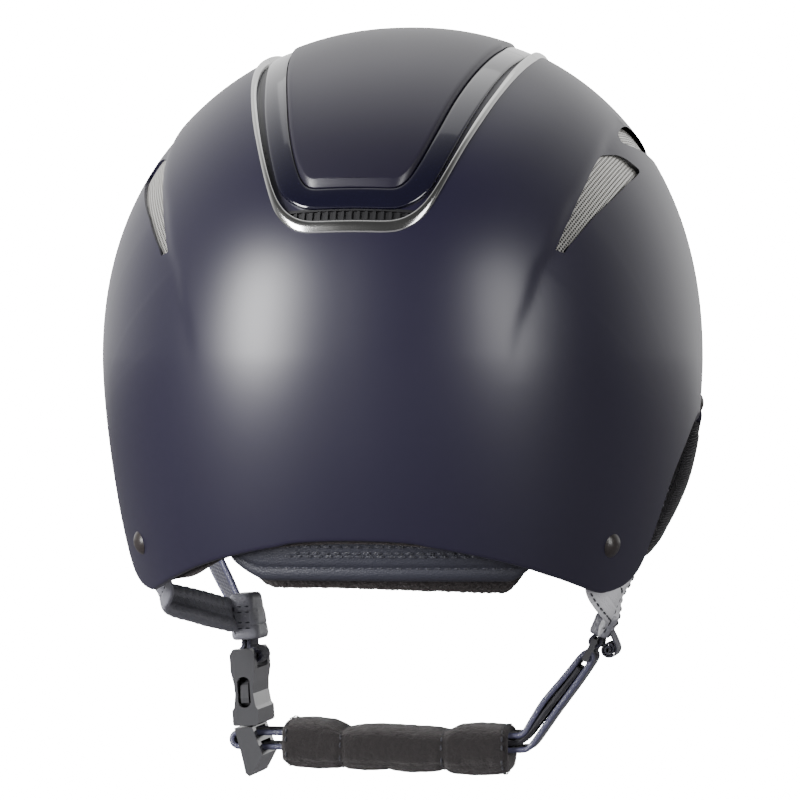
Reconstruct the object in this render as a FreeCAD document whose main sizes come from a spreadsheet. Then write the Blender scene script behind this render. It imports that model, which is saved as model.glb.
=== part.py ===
import FreeCAD, Part
import math, os

# Riding helmet with a buckled chin harness.  Millimetres.  +Z up, front (peak)
# towards -Y, wearer's left +X, X = 0 the symmetry plane, Z = 0 the lowest
# points of the shell's rim at its rear corners.
V = FreeCAD.Vector
doc = FreeCAD.newDocument("riding_helmet")
sheet = doc.addObject("Spreadsheet::Sheet", "dims")
SIZES = [
    ("half_width", 101.9), ("rear_len", 117.0), ("front_len", 136.0), ("centre_y", 8.0),
    ("equator_z", 78.0), ("crown_rise", 114.8), ("plan_power", 2.2), ("side_power", 2.15),
    ("crown_shift", 18.6), ("lower_tuck", 0.102), ("shell_wall", 3.2), ("liner_wall", 18.0),
    ("liner_gap", 0.2), ("recess_depth", 2.0), ("trim_proud", 0.8), ("band_sink", 0.7),
    ("side_vent_sink", 1.7), ("mesh_thick", 0.8), ("peak_thick", 2.4), ("peak_lining_thick", 1.2),
    ("binding_r", 1.7), ("headband_thick", 4.0), ("pad_thick", 5.0),
    ("rivet_head_r", 4.0), ("rivet_head_rise", 1.9), ("rivet_shank_r", 1.6), ("rivet_shank_len", 8.2),
    ("washer_r", 4.2), ("washer_thick", 0.9),
    ("plane_y", -5.0), ("web_wide", 15.0), ("web_thick", 1.4),
    ("buckle_wide", 28.0), ("buckle_deep", 8.6), ("buckle_bar_r", 1.6), ("lug_gap", 18.0),
    ("cavity_deep", 4.8), ("cavity_wide", 21.4), ("window_half", 2.2), ("buckle_tilt", 3.8),
    ("ring_wire_r", 1.2), ("ring_wide", 22.0), ("ring_pitch", 6.1),
    ("pad_len", 80.0), ("pad_high", 18.4), ("pad_deep", 27.0),
]
for i, (name, value) in enumerate(SIZES):
    sheet.set("A%d" % (i + 1), name)
    sheet.set("B%d" % (i + 1), repr(value))
    sheet.setAlias("B%d" % (i + 1), name)
doc.recompute()


def S(name):
    return float(sheet.get(name))


A0, BR, BF, Y0 = S("half_width"), S("rear_len"), S("front_len"), S("centre_y")
ZE, CU, NP, MV = S("equator_z"), S("crown_rise"), S("plan_power"), S("side_power")
YT, QS = -S("crown_shift"), S("lower_tuck")


# ---- the outer form of the shell as an implicit surface: F < 0 inside
def rho_low(z, th):
    t = min(max((ZE - z) / 78.0, 0.0), 2.0)
    s = math.sin(th)
    q = QS + (0.067 if s > 0 else 0.02) * s * s
    return 1 - q * t ** 1.6


def F(x, y, z):
    up = (z - ZE) / CU
    yy = y - Y0 - YT * min(max(up, 0.0), 1.3) ** 2
    b = BR if yy > 0 else BF
    g = ((abs(x) / A0) ** NP + (abs(yy) / b) ** NP) ** (1 / NP)
    if z > ZE:
        return (g ** MV + up ** MV) ** (1 / MV) - 1
    return g / rho_low(z, math.atan2(yy / b, x / A0)) - 1


def normal(p):
    e = 0.6
    g = V(F(p.x + e, p.y, p.z) - F(p.x - e, p.y, p.z), F(p.x, p.y + e, p.z) - F(p.x, p.y - e, p.z),
          F(p.x, p.y, p.z + e) - F(p.x, p.y, p.z - e))
    return g.normalize()


CEN = V(0, 5.0, 40.0)


def cast(o, d, hi=260.0):
    lo = 0.0
    for _ in range(42):
        m = 0.5 * (lo + hi)
        if F(o.x + d.x * m, o.y + d.y * m, o.z + d.z * m) < 0:
            lo = m
        else:
            hi = m
    return 0.5 * (lo + hi)


def fan_pt(x, phi, rise=0.0):
    """Point on the form in the plane through CEN's X line at angle phi, at a given X."""
    d = V(0, math.cos(phi), math.sin(phi))
    r = cast(V(x, CEN.y, CEN.z), d)
    p = V(x, CEN.y, CEN.z) + d * r
    return p + normal(p) * rise


def polar_pt(t, z, rise=0.0):
    """Point on the form at height z and plan angle t (0 = +X, pi/2 = rear)."""
    cy = Y0 + YT * min(max((z - ZE) / CU, 0.0), 1.3) ** 2
    o = V(0, cy, z)
    d = V(math.cos(t), math.sin(t), 0)
    p = o + d * cast(o, d)
    return p + normal(p) * rise


# ---- tensor product spline surfaces through point grids
_inv = {}


def basis(n):
    p = min(3, n - 1)
    if (n, p) in _inv:
        return _inv[(n, p)]
    u = [i / (n - 1.0) for i in range(n)]
    kn = [0.0] * (p + 1) + [sum(u[j:j + p]) / p for j in range(1, n - p)] + [1.0] * (p + 1)

    def row(x):
        r = [0.0] * n
        if x >= 1.0:
            r[-1] = 1.0
            return r
        N = [1.0 if kn[i] <= x < kn[i + 1] else 0.0 for i in range(n + p)]
        for k in range(1, p + 1):
            for i in range(n + p - k):
                a = (x - kn[i]) / (kn[i + k] - kn[i]) * N[i] if kn[i + k] > kn[i] else 0.0
                b = (kn[i + k + 1] - x) / (kn[i + k + 1] - kn[i + 1]) * N[i + 1] if kn[i + k + 1] > kn[i + 1] else 0.0
                N[i] = a + b
        return N[:n]

    M = [row(x) + [1.0 if i == j else 0.0 for j in range(n)] for i, x in enumerate(u)]
    for c in range(n):
        piv = max(range(c, n), key=lambda k: abs(M[k][c]))
        M[c], M[piv] = M[piv], M[c]
        f = M[c][c]
        M[c] = [v / f for v in M[c]]
        for k in range(n):
            if k != c and M[k][c] != 0.0:
                f = M[k][c]
                M[k] = [a - f * b for a, b in zip(M[k], M[c])]
    inv = [r[n:] for r in M]
    ks = sorted(set(kn))
    _inv[(n, p)] = (p, inv, ks, [kn.count(k) for k in ks])
    return _inv[(n, p)]


def spline_surface(G):
    n, m = len(G), len(G[0])
    pu, iu, ku, mu = basis(n)
    pv, iv, kv, mv = basis(m)
    T = []
    for i in range(n):
        r = []
        for j in range(m):
            v = V(0, 0, 0)
            for k in range(n):
                c = iu[i][k]
                if abs(c) > 1e-12:
                    v = v + G[k][j] * c
            r.append(v)
        T.append(r)
    P = []
    for i in range(n):
        r = []
        for j in range(m):
            v = V(0, 0, 0)
            for k in range(m):
                c = iv[j][k]
                if abs(c) > 1e-12:
                    v = v + T[i][k] * c
            r.append(v)
        P.append(r)
    s = Part.BSplineSurface()
    s.buildFromPolesMultsKnots(P, mu, mv, ku, kv, False, False, pu, pv)
    return s


def to_solid(faces):
    sh = Part.makeShell(faces)
    sh.sewShape(1e-4)
    if sh.ShapeType != "Shell":
        sh = sh.Shells[0]
    s = Part.makeSolid(sh)
    if s.Volume < 0:
        s = Part.makeSolid(sh.reversed())
    if not s.isValid():
        s.fix(1e-4, 1e-4, 1e-3)
    return s


def patch(top, bot):
    """Closed solid between two point grids of one size."""
    n, m = len(top), len(top[0])
    fs = [spline_surface(top).toShape(), spline_surface(bot).toShape()]
    for a, b in ((top[0], bot[0]), (top[-1], bot[-1]),
                 ([r[0] for r in top], [r[0] for r in bot]), ([r[-1] for r in top], [r[-1] for r in bot])):
        fs.append(spline_surface([a, b]).toShape())
    return to_solid(fs)


def dome(rise_at, nf=41, na=41, f0=-52.0, f1=203.0):
    """Solid bounded by the offset form and two planes through CEN's X line."""
    G = []
    for i in range(nf):
        phi = math.radians(f0 + (f1 - f0) * i / (nf - 1))
        row = []
        for j in range(na):
            psi = math.pi * j / (na - 1)
            if j in (0, na - 1):
                d = V(1 if j == 0 else -1, 0, 0)
            else:
                d = V(math.cos(psi), math.sin(psi) * math.cos(phi), math.sin(psi) * math.sin(phi))
            r = cast(CEN, d)
            p = CEN + d * r
            k = max(normal(p).dot(d), 0.5)
            row.append(CEN + d * (r + rise_at(p) / k))
        G.append(row)
    s = spline_surface(G)
    fs = [s.toShape()]
    for u in (0.0, 1.0):
        c = s.uIso(u)
        e = c.toShape()
        ln = Part.makeLine(e.Vertexes[-1].Point, e.Vertexes[0].Point)
        fs.append(Part.Face(Part.Wire([e, ln])))
    return to_solid(fs)


def feature(name, shape):
    o = doc.addObject("Part::Feature", name)
    o.Label = name
    o.Shape = shape
    return o


def interp(tab, x):
    if x <= tab[0][0]:
        return tab[0][1]
    for (a, u), (b, v) in zip(tab, tab[1:]):
        if x <= b:
            return u + (v - u) * (x - a) / (b - a)
    return tab[-1][1]


def keeper(pts, top=230.0):
    """Everything above a rim line given in side view as (Y, Z) points."""
    c = Part.BSplineCurve()
    c.interpolate([V(-150, y, z) for y, z in pts])
    e = c.toShape()
    a, b = V(-150, pts[0][0], pts[0][1]), V(-150, pts[-1][0], pts[-1][1])
    w = Part.Wire([e, Part.makeLine(b, V(-150, b.y, top)), Part.makeLine(V(-150, b.y, top), V(-150, a.y, top)),
                   Part.makeLine(V(-150, a.y, top), a)])
    return Part.Face(w).extrude(V(300, 0, 0))


RIM = [(-190, 50), (-150, 50), (-120, 50.5), (-90, 51.5), (-60, 54), (-33, 57), (-10, 59.5), (4, 58.6), (17, 54.3),
       (30, 46), (38, 38), (43, 29), (47.3, 17.6), (51, 8.6), (57, 3.6), (65, 1.2), (71, 1.5), (84.5, 6.1), (95, 10.3),
       (103.6, 14.0), (108.7, 16.6), (112.3, 18.9), (125, 24), (160, 36)]
LINER_RIM = [(-190, 54), (-150, 54), (-110, 54.5), (-60, 57), (-20, 61), (4, 61.5), (17, 57.5), (30, 50), (40, 41),
             (48, 37.5), (56, 35.6), (64, 35), (75, 35), (85, 35), (95, 35), (112, 35), (130, 35), (160, 35)]


wall, gap = S("shell_wall"), S("liner_gap")
LW = S("liner_wall")
TILT = math.radians(S("buckle_tilt"))
RD = S("recess_depth")

# ---- crown inset outlines: half width X against position along the centre line.
# Positions are (Y, Z) on the form, turned into an angle about CEN's X line.
def ang(y, z):
    return math.atan2(z - CEN.z, y - CEN.y)


def table(rows):
    return sorted((ang(y, z), x) for x, y, z in rows)


# rear half, from the bottom bar up to the cross seam on the crown
TRIM_OUT = [(0, 117.3, 117.1), (15.0, 117.2, 117.2), (18.6, 115.5, 118.1), (21.9, 114, 120), (24.8, 112, 123),
            (27.2, 108.4, 128), (31, 101.5, 137), (34, 94, 144.4), (37, 86, 151.7), (39.6, 77, 158), (43, 62, 166),
            (45.5, 47, 172), (47.2, 32, 177.3), (48.2, 14, 181)]
TRIM_IN = [(0, 115.6, 120.9), (15.0, 115.5, 121.0), (17.6, 114, 121.9), (20.4, 113, 123.0), (23.0, 111, 125.6),
           (25.5, 108, 129.4), (28.5, 103, 136), (32, 95, 144.4), (35.0, 86, 152), (37.4, 77.5, 158), (40.4, 65, 166),
           (42.8, 48, 173), (44.4, 32, 178.2), (45.4, 14, 181.9)]
BAND_OUT = [(0, 113.2, 125.6), (15.0, 113.1, 125.7), (18.2, 111.4, 126.6), (20.6, 110.6, 127.6), (22.8, 109.6, 129.3),
            (25.0, 107, 131.6), (27.6, 102.6, 138), (31.2, 93.5, 147), (34.3, 83, 155.6), (37.0, 71.5, 163),
            (39.9, 55, 170.2), (41.7, 43, 174.8), (43.4, 30, 178.8), (44.4, 14, 182)]
BAND_IN = [(0, 109, 132.1), (13.4, 109, 132.2), (15.4, 108.4, 132.9), (16.8, 107.6, 134), (18.0, 106.4, 135.6),
           (19.4, 104, 138), (22.0, 98.4, 143.6), (25.4, 88.4, 153), (28.1, 77.4, 161.8), (30.8, 64.6, 168.8),
           (33.2, 51.5, 175.2), (35.0, 39, 179.6), (36.3, 27, 183), (37.4, 12, 185.8)]


def angles(rows):
    """Rows as (x, angle); mirrored to the left gives the whole U."""
    return [(x, ang(y, z)) for x, y, z in rows]


def u_path(rows, n, y_end, front=False):
    """n points (x, phi) from the left leg's end round the bottom bar to the right leg's end."""
    half = angles(rows)
    a_end = ang(y_end, 182.0)
    cut = [half[0]]
    for (x0, p0), (x1, p1) in zip(half, half[1:]):
        if p1 < a_end:
            cut.append((x1, p1))
        else:
            f = (a_end - p0) / (p1 - p0)
            cut.append((x0 + (x1 - x0) * f, a_end))
            break
    if front:
        x_end = cut[-1][0]
        far = [(x * 0.94, math.pi - p + 0.10) for x, p in cut[:-1]]
        cut = far + [(x_end * 0.985, a_end + 0.22), (x_end, a_end + 0.0015)]
    pts = [(-x, p) for x, p in reversed(cut[1:])] + cut
    c = Part.BSplineCurve()
    c.interpolate([V(x / 100.0, p, 0) for x, p in pts])
    a, b = c.FirstParameter, c.LastParameter
    prm = [c.parameter(V(x / 100.0, p, 0)) for x, p in pts]
    prm[0], prm[-1] = a, b
    out = []
    for i in range(n):
        t = i * (len(pts) - 1) / (n - 1.0)
        k = min(int(t), len(pts) - 2)
        q = c.value(prm[k] + (prm[k + 1] - prm[k]) * (t - k))
        out.append((q.x * 100.0, q.y))
    return out


def mix(a, b, f):
    return [(x + (u - x) * f, p + (q - p) * f) for (x, p), (u, q) in zip(a, b)]


def u_solid(outp, inp, lo, hi, across=4, lo_edge=None):
    """U strip between two paths; hi may be a list of rises across the strip."""
    his = hi if isinstance(hi, (list, tuple)) else [hi] * across
    across = len(his)
    rows = [mix(outp, inp, k / (across - 1.0)) for k in range(across)]
    top = [[fan_pt(x, p, his[k]) for x, p in rows[k]] for k in range(across)]
    bot = [[fan_pt(x, p, lo) for x, p in rows[k]] for k in range(across)]
    return patch(top, bot)


SEAM_Y = 22.0
N_U = 53
t_out = u_path(TRIM_OUT, N_U, SEAM_Y)
t_in = u_path(TRIM_IN, N_U, SEAM_Y)
b_out = u_path(BAND_OUT, N_U, SEAM_Y)
b_in = u_path(BAND_IN, N_U, SEAM_Y)
ft_out = u_path(TRIM_OUT, N_U, SEAM_Y, True)
ft_in = u_path(TRIM_IN, N_U, SEAM_Y, True)
fb_out = u_path(BAND_OUT, N_U, SEAM_Y, True)
fb_in = u_path(BAND_IN, N_U, SEAM_Y, True)


def crown_patch(rows_r, rows_f, lo, hi, grow=0.0, stretch=0.0, bar=13.0, na=17, n=71):
    """Plate over the crown filling both Us, from the rear bar to the front bar."""
    pr = u_path(rows_r, 401, SEAM_Y)
    pf = u_path(rows_f, 401, SEAM_Y, True)
    rows = sorted([(p, x) for x, p in pr if x > 2] + [(p, x) for x, p in pf if x > 2])
    p0 = min(p for x, p in pr) - stretch
    p1 = max(p for x, p in pf) + stretch
    top, bot = [], []
    for i in range(n):
        f = 0.5 - 0.5 * math.cos(math.pi * i / (n - 1.0))
        p = p0 + (p1 - p0) * f
        w = max(interp(rows, p), bar) + grow
        top.append([fan_pt(w * (2.0 * j / (na - 1) - 1), p, hi) for j in range(na)])
        bot.append([fan_pt(w * (2.0 * j / (na - 1) - 1), p, lo) for j in range(na)])
    return patch(top, bot)


trim_r = u_solid(t_out, t_in, -RD + 0.05, [0.15, S("trim_proud"), S("trim_proud"), 0.15])
trim_f = u_solid(ft_out, ft_in, -RD + 0.05, [0.15, S("trim_proud"), S("trim_proud"), 0.15])
sink = S("band_sink")
band_r = u_solid(mix(b_out, b_in, 0.02), mix(b_out, b_in, 0.95), -RD + 0.05, [-sink, -sink * 0.8, -sink * 0.5, -sink * 0.9])
band_f = u_solid(mix(fb_out, fb_in, 0.02), mix(fb_out, fb_in, 0.95), -RD + 0.05, [-sink, -sink * 0.8, -sink * 0.5, -sink * 0.9])
panel = crown_patch(BAND_IN, BAND_IN, -RD + 0.05, 0.25, grow=-0.35, stretch=-0.003, bar=13.2)
pocket = crown_patch(TRIM_OUT, TRIM_OUT, -RD, 6.0, grow=0.24, stretch=0.0028, bar=14.8)



# ---- outlets through shell and liner under the band, front and rear
def bar_patch(x_half, p_a, p_b, lo, hi, n=13):
    ps = [p_a + (p_b - p_a) * k / 3.0 for k in range(4)]
    xs = [x_half * (2.0 * j / (n - 1) - 1) for j in range(n)]
    return patch([[fan_pt(x, p, hi) for x in xs] for p in ps], [[fan_pt(x, p, lo) for x in xs] for p in ps])


def grille(p_a, p_b):
    g = bar_patch(14.9, p_a + 0.0022, p_b - 0.0022, -RD + 0.05, -RD + 0.9)
    w = (p_b - p_a)
    for k in range(7):
        x = -12.3 + 4.1 * k
        ps = [p_a + w * 0.22 + w * 0.56 * i / 3.0 for i in range(4)]
        xs = [x - 1.6 + 3.2 * i / 3.0 for i in range(4)]
        g = g.cut(patch([[fan_pt(a, p, 2.0) for a in xs] for p in ps], [[fan_pt(a, p, -8.0) for a in xs] for p in ps]))
    return g


gp_a, gp_b = ang(115.2, 121.35), ang(113.5, 125.2)
gf_a, gf_b = math.pi - gp_a + 0.10, math.pi - gp_b + 0.10
rear_vent_grille = grille(gp_a, gp_b)
front_vent_grille = grille(gf_b, gf_a)
e = 0.0035
slot_r = bar_patch(14.0, gp_a + e, gp_b - e, -60.0, 6.0)
slot_f = bar_patch(13.4, gf_b + e, gf_a - e, -60.0, 6.0)

# ---- leaf shaped side vents.  Outline rows (X, Y, Z) from the wide front end to the tip
VENT_UP = [(82.8, 36.3, 143), (80.8, 39.4, 144.8), (78.4, 44, 145.9), (76.3, 49.8, 145.8), (74.5, 54.8, 145.1),
           (73.7, 59.3, 143.2), (72.6, 65.9, 139.6), (71.3, 73.8, 134.1), (69.8, 80.5, 128.8), (68.2, 86.2, 123.5),
           (66.5, 90.9, 118.8), (65.2, 94.4, 114.6), (64.3, 96.3, 112.3)]
VENT_LO = [(84.4, 34, 141.3), (84.7, 35, 140.3), (84.5, 38, 139.4), (84.2, 41, 138.5), (83.6, 45.5, 137.2),
           (82.8, 49.7, 136), (80.4, 61.1, 131.7), (77.7, 70.2, 127.6), (74.9, 77.6, 123.8), (72.5, 83.6, 120),
           (70.3, 88.1, 116.6), (68.4, 91.6, 113.8), (67, 94.3, 111.2)]
VENT2_UP = [(78.3, 31.0, 151.4), (76.9, 28.0, 153.8), (76.6, 22, 155.4), (76.7, 16, 156.7), (77.2, 8, 157.4),
            (78.2, -2, 157.0), (79.6, -14, 155.6), (80.4, -24, 153.6), (80.6, -33, 151.2), (80.4, -40, 148.6)]
VENT2_LO = [(79.0, 30.4, 150.8), (80.6, 25.5, 150.0), (81.6, 20.5, 149.2), (82.6, 15.0, 148.6), (83.4, 9.5, 147.8),
            (84.2, 1.5, 147.0), (84.7, -8.0, 146.6), (84.6, -19.0, 146.3), (83.8, -30.0, 146.2), (82.6, -38.0, 146.1)]


def snap(x, y, z, rise):
    """Onto the form along the ray from CEN, then out by rise."""
    d = V(x, y, z) - CEN
    d.normalize()
    p = CEN + d * cast(CEN, d)
    return p + normal(p) * rise


def leaf(up, low, lo, hi, side=1, shrink=0.0):
    n = len(up)
    top, bot = [], []
    for k in range(5):
        f = shrink + (1 - 2 * shrink) * k / 4.0
        rt, rb = [], []
        for i, (a, b) in enumerate(zip(up, low)):
            q = [a[c] + (b[c] - a[c]) * f for c in range(3)]
            if shrink:
                m = up[n // 2]
                l = low[n // 2]
                c0 = [(m[c] + l[c]) / 2 for c in range(3)]
                q = [c0[c] + (q[c] - c0[c]) * (1 - shrink) for c in range(3)]
            rt.append(snap(side * q[0], q[1], q[2], hi))
            rb.append(snap(side * q[0], q[1], q[2], lo))
        top.append(rt)
        bot.append(rb)
    return patch(top, bot)


sv, mt = S("side_vent_sink"), S("mesh_thick")
vent_cut, mesh_rear, mesh_front, liner_cut = [], [], [], []
for side in (1, -1):
    for up, low, dest in ((VENT_UP, VENT_LO, mesh_rear), (VENT2_UP, VENT2_LO, mesh_front)):
        vent_cut.append(leaf(up, low, -wall - 1.0, 5.0, side))
        dest.append(leaf(up, low, -sv - mt, -sv, side, 0.012))
        liner_cut.append(leaf(up, low, -32.0, 0.0, side, 0.10))

outer = dome(lambda p: 0.0)
inner = dome(lambda p: -wall)
shell = outer.common(keeper(RIM)).cut(inner)
for q in [pocket, slot_r, slot_f, trim_r, trim_f] + vent_cut:
    shell = shell.cut(q)

# ---- anchor points of the harness: rear pair at the rim's corners, front pair by the peak's ends
def on_form(x, y, z):
    return snap(x, y, z, 0.0)


def side_pt(y, z, side, rise=0.0):
    """Point on the form's flank at a given Y and Z."""
    cx = cast(V(0, y, z), V(side, 0, 0))
    p = V(side * cx, y, z)
    return p + normal(p) * rise


ANCHOR = {}
for side in (1, -1):
    for key, y, z in (("rear", 70.0, 16.0), ("front", -33.0, 62.5)):
        p = side_pt(y, z, side)
        ANCHOR[(key, side)] = (p, normal(p))
TAB = -(wall + 1.5)          # depth of the strap tabs' mid layer below the form

for p, n in ANCHOR.values():
    shell = shell.cut(Part.makeCylinder(S("rivet_shank_r") + 0.08, 16, p - n * 12, n))


# liner: fuller over the crown, thinner towards the sides' lower edge
def liner_depth(p):
    f = min(max((p.z - 40.0) / 110.0, 0.0), 1.0)
    return -(wall + gap + LW * (0.80 + 0.25 * f))


liner = dome(lambda p: -wall - gap).common(keeper(LINER_RIM)).cut(dome(liner_depth))
for q in [slot_r, slot_f] + liner_cut:
    liner = liner.cut(q)
for side in (1, -1):
    liner = liner.cut(Part.makeBox(22, 30, 30, V(84 if side > 0 else -106, -48, 46)))
feature("outer_shell", shell)
feature("eps_liner", liner)
feature("crown_panel", panel)
feature("panel_band_rear", band_r)
feature("panel_band_front", band_f)
feature("chrome_trim_rear", trim_r)
feature("chrome_trim_front", trim_f)
feature("rear_vent_grille", rear_vent_grille)
feature("front_vent_grille", front_vent_grille)
feature("side_vent_mesh_rear", Part.makeCompound(mesh_rear))
feature("side_vent_mesh_front", Part.makeCompound(mesh_front))

# ---- peak: a cambered sheet from a root line on the shell to a free edge, lined below
EDGE = [(97.6, -43, 56), (94.0, -60, 45.5), (89.6, -80, 36), (84.0, -102, 27.3), (78, -120, 18.9), (72.4, -132, 11.5),
        (66, -142, 6.5), (56.5, -153.5, 5.5), (44, -165, 8), (30, -174.5, 11.5), (15, -181, 14.2), (0, -183.2, 15.2)]
NP_S = 41
cv = Part.BSplineCurve()
cv.interpolate([V(*q) for q in EDGE] + [V(-x, y, z) for x, y, z in reversed(EDGE[:-1])])
edge_pts = cv.discretize(NP_S)
t_a = math.atan2(-40.0 - Y0, 97.0)
root_t = [t_a + (-math.pi - 2 * t_a) * i / (NP_S - 1.0) for i in range(NP_S)]


def root_z(i):
    return 61.5 + 3.5 * math.sin(math.pi * i / (NP_S - 1.0))


PT, PL = S("peak_thick"), S("peak_lining_thick")
NR = 9
sheet_mid = []
for i in range(NP_S):
    a = polar_pt(root_t[i], root_z(i), 0.35)
    b = edge_pts[i]
    out = V(b.x - a.x, b.y - a.y, 0)
    nrm = V(a.x * 0.2, -60.0 * math.sin(math.pi * i / (NP_S - 1.0)) * 0.5, 90.0)
    if abs(a.x) > 60:
        nrm = V(a.x, -20, 60.0)
    nrm.normalize()
    row = []
    for r in range(NR):
        f = r / (NR - 1.0)
        bulge = 3.4 * 4 * f * (1 - f) * (0.35 + 0.65 * math.sin(math.pi * i / (NP_S - 1.0)))
        row.append(a + (b - a) * f + nrm * bulge)
    sheet_mid.append(row)


def grid_normal(G, i, r):
    du = G[min(i + 1, len(G) - 1)][r] - G[max(i - 1, 0)][r]
    dv = G[i][min(r + 1, len(G[0]) - 1)] - G[i][max(r - 1, 0)]
    n = du.cross(dv)
    n.normalize()
    return n if n.z > 0 or abs(n.z) < 0.2 and n.x * G[i][r].x > 0 else n * -1


def out_normal(i, r):
    n = grid_normal(sheet_mid, i, r)
    ref = V(sheet_mid[i][r].x * 0.6, sheet_mid[i][r].y * 0.3, 60)
    return n if n.dot(ref) > 0 else n * -1


def layer(depth, r0=0, r1=NR, i0=0, i1=NP_S, root=True):
    G = []
    for i in range(i0, i1):
        row = []
        for r in range(r0, r1):
            q = sheet_mid[i][r] - out_normal(i, r) * depth
            if r == 0 and depth > 0:
                q = polar_pt(root_t[i], root_z(i) - depth * 1.1, 0.35)
            row.append(q)
        G.append(row)
    return G


peak = patch(layer(0.0), layer(PT))
form_guard = dome(lambda p: 0.3)
peak_lining = patch(layer(PT + 0.08, 1, NR, 1, NP_S - 1), layer(PT + 0.08 + PL, 1, NR, 1, NP_S - 1))
peak = max(peak.cut(form_guard).Solids, key=lambda q: q.Volume)
peak_lining = max(peak_lining.cut(form_guard).Solids, key=lambda q: q.Volume)
feature("peak", peak)
feature("peak_lining", peak_lining)
ring_pts = []
for i in range(NP_S):
    q = sheet_mid[i][NR - 1]
    d = q - sheet_mid[i][NR - 2]
    d.normalize()
    ring_pts.append(q - out_normal(i, NR - 1) * ((PT + PL) * 0.5) + d * (S("binding_r") + 0.12))
wires = []
for i, q in enumerate(ring_pts):
    tdir = ring_pts[min(i + 1, NP_S - 1)] - ring_pts[max(i - 1, 0)]
    wires.append(Part.Wire([Part.Circle(q, tdir, S("binding_r")).toShape()]))
binding = Part.makeLoft(wires, True, False)
binding = binding.cut(peak).cut(peak_lining).cut(form_guard)
binding = max(binding.Solids, key=lambda q: q.Volume)
feature("peak_edge_binding", binding)

# ---- interior comfort parts
HB = S("headband_thick")


def polar_patch(ts, z_lo, z_hi, h_out, h_in, nz=7):
    top, bot = [], []
    for t in ts:
        a, b = z_lo(t), z_hi(t)
        rt, rb = [], []
        for k in range(nz):
            z = a + (b - a) * k / (nz - 1.0)
            q = polar_pt(t, z)
            rt.append(polar_pt(t, z, h_out(q, k / (nz - 1.0))))
            rb.append(polar_pt(t, z, h_in(q, k / (nz - 1.0))))
        top.append(rt)
        bot.append(rb)
    return patch(top, bot)


def crown_of(f, depth):
    return depth * (1 - (2 * f - 1) ** 4)


ts = [math.radians(94.5 + 351.0 * i / 72.0) for i in range(73)]


def band_low(t):
    return interp(LINER_RIM, polar_pt(t, 55.0).y) + 1.5


headband = polar_patch(ts, band_low, lambda t: band_low(t) + 30.0,
                       lambda p, f: liner_depth(p) - 1.6,
                       lambda p, f: liner_depth(p) - 1.9 - 0.35 * HB - crown_of(f, 0.65 * HB))
feature("comfort_headband", headband)
xs = [-40.0 + 80.0 * j / 10.0 for j in range(11)]
ps = [math.radians(62 + 60.0 * i / 12.0) for i in range(13)]
ct, cb = [], []
for i, p in enumerate(ps):
    ct.append([fan_pt(x, p, -(wall + gap + LW * 1.05 + 1.2)) for x in xs])
    cb.append([fan_pt(x, p, -(wall + gap + LW * 1.05 + 2.2) - S("pad_thick") * (1 - (x / 40.0) ** 4) *
                      (1 - (2 * i / 12.0 - 1) ** 4)) for x in xs])
feature("crown_pad", patch(ct, cb))
tn = [math.radians(63 + 64.0 * i / 30.0) for i in range(31)]
nape = polar_patch(tn, lambda t: 1.0 + 9.0 * min(max((71.0 - math.degrees(t)) / 8.0, (math.degrees(t) - 121.0) / 6.0, 0.0), 1.0) ** 1.6, lambda t: 27.5,
                   lambda p, f: -6.0 + crown_of(f, 1.4), lambda p, f: -12.0)
feature("nape_pad", nape)
tf = [math.radians(61 + 68.0 * i / 34.0) for i in range(35)]
fleece = polar_patch(tf, lambda t: -2.6 + 12.0 * min(max((70.0 - math.degrees(t)) / 9.0, (math.degrees(t) - 122.0) / 7.0, 0.0), 1.0) ** 1.6, lambda t: 27.5,
                     lambda p, f: -12.4, lambda p, f: -14.4 - crown_of(f, 2.2))
feature("nape_fleece", fleece)

# thin fabric strip inside the shell's rear rim, showing below it
def strip_low(t):
    d = math.degrees(t)
    y = polar_pt(t, 10.0).y
    return interp(RIM, y) - 0.7 - 2.6 * math.exp(-((d - 54) / 7.0) ** 2) - 0.9 * math.exp(-((d - 128) / 7.0) ** 2)


def strip_in(t):
    d = abs(math.degrees(t) - 90)
    return -3.85 - 0.55 * min(max((47.0 - d) / 4.0, 0.0), 1.0)


tl = [math.radians(42 + 96.0 * i / 40.0) for i in range(41)]
feature("rim_lining", polar_patch(tl, strip_low, lambda t: strip_low(t) + 10.0, lambda p, f: -3.35,
                                  lambda p, f: strip_in(math.atan2(p.y - Y0, p.x)), nz=4))

# ---- PartDesign helpers
def body(name):
    b = doc.addObject("PartDesign::Body", name)
    b.Label = name
    return b


def sketch(b, name, role):
    sk = b.newObject("Sketcher::SketchObject", name)
    pl = [o for o in b.Origin.OriginFeatures if o.Role == role][0]
    sk.AttachmentSupport = [(pl, "")]
    sk.MapMode = "FlatFace"
    return sk


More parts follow.
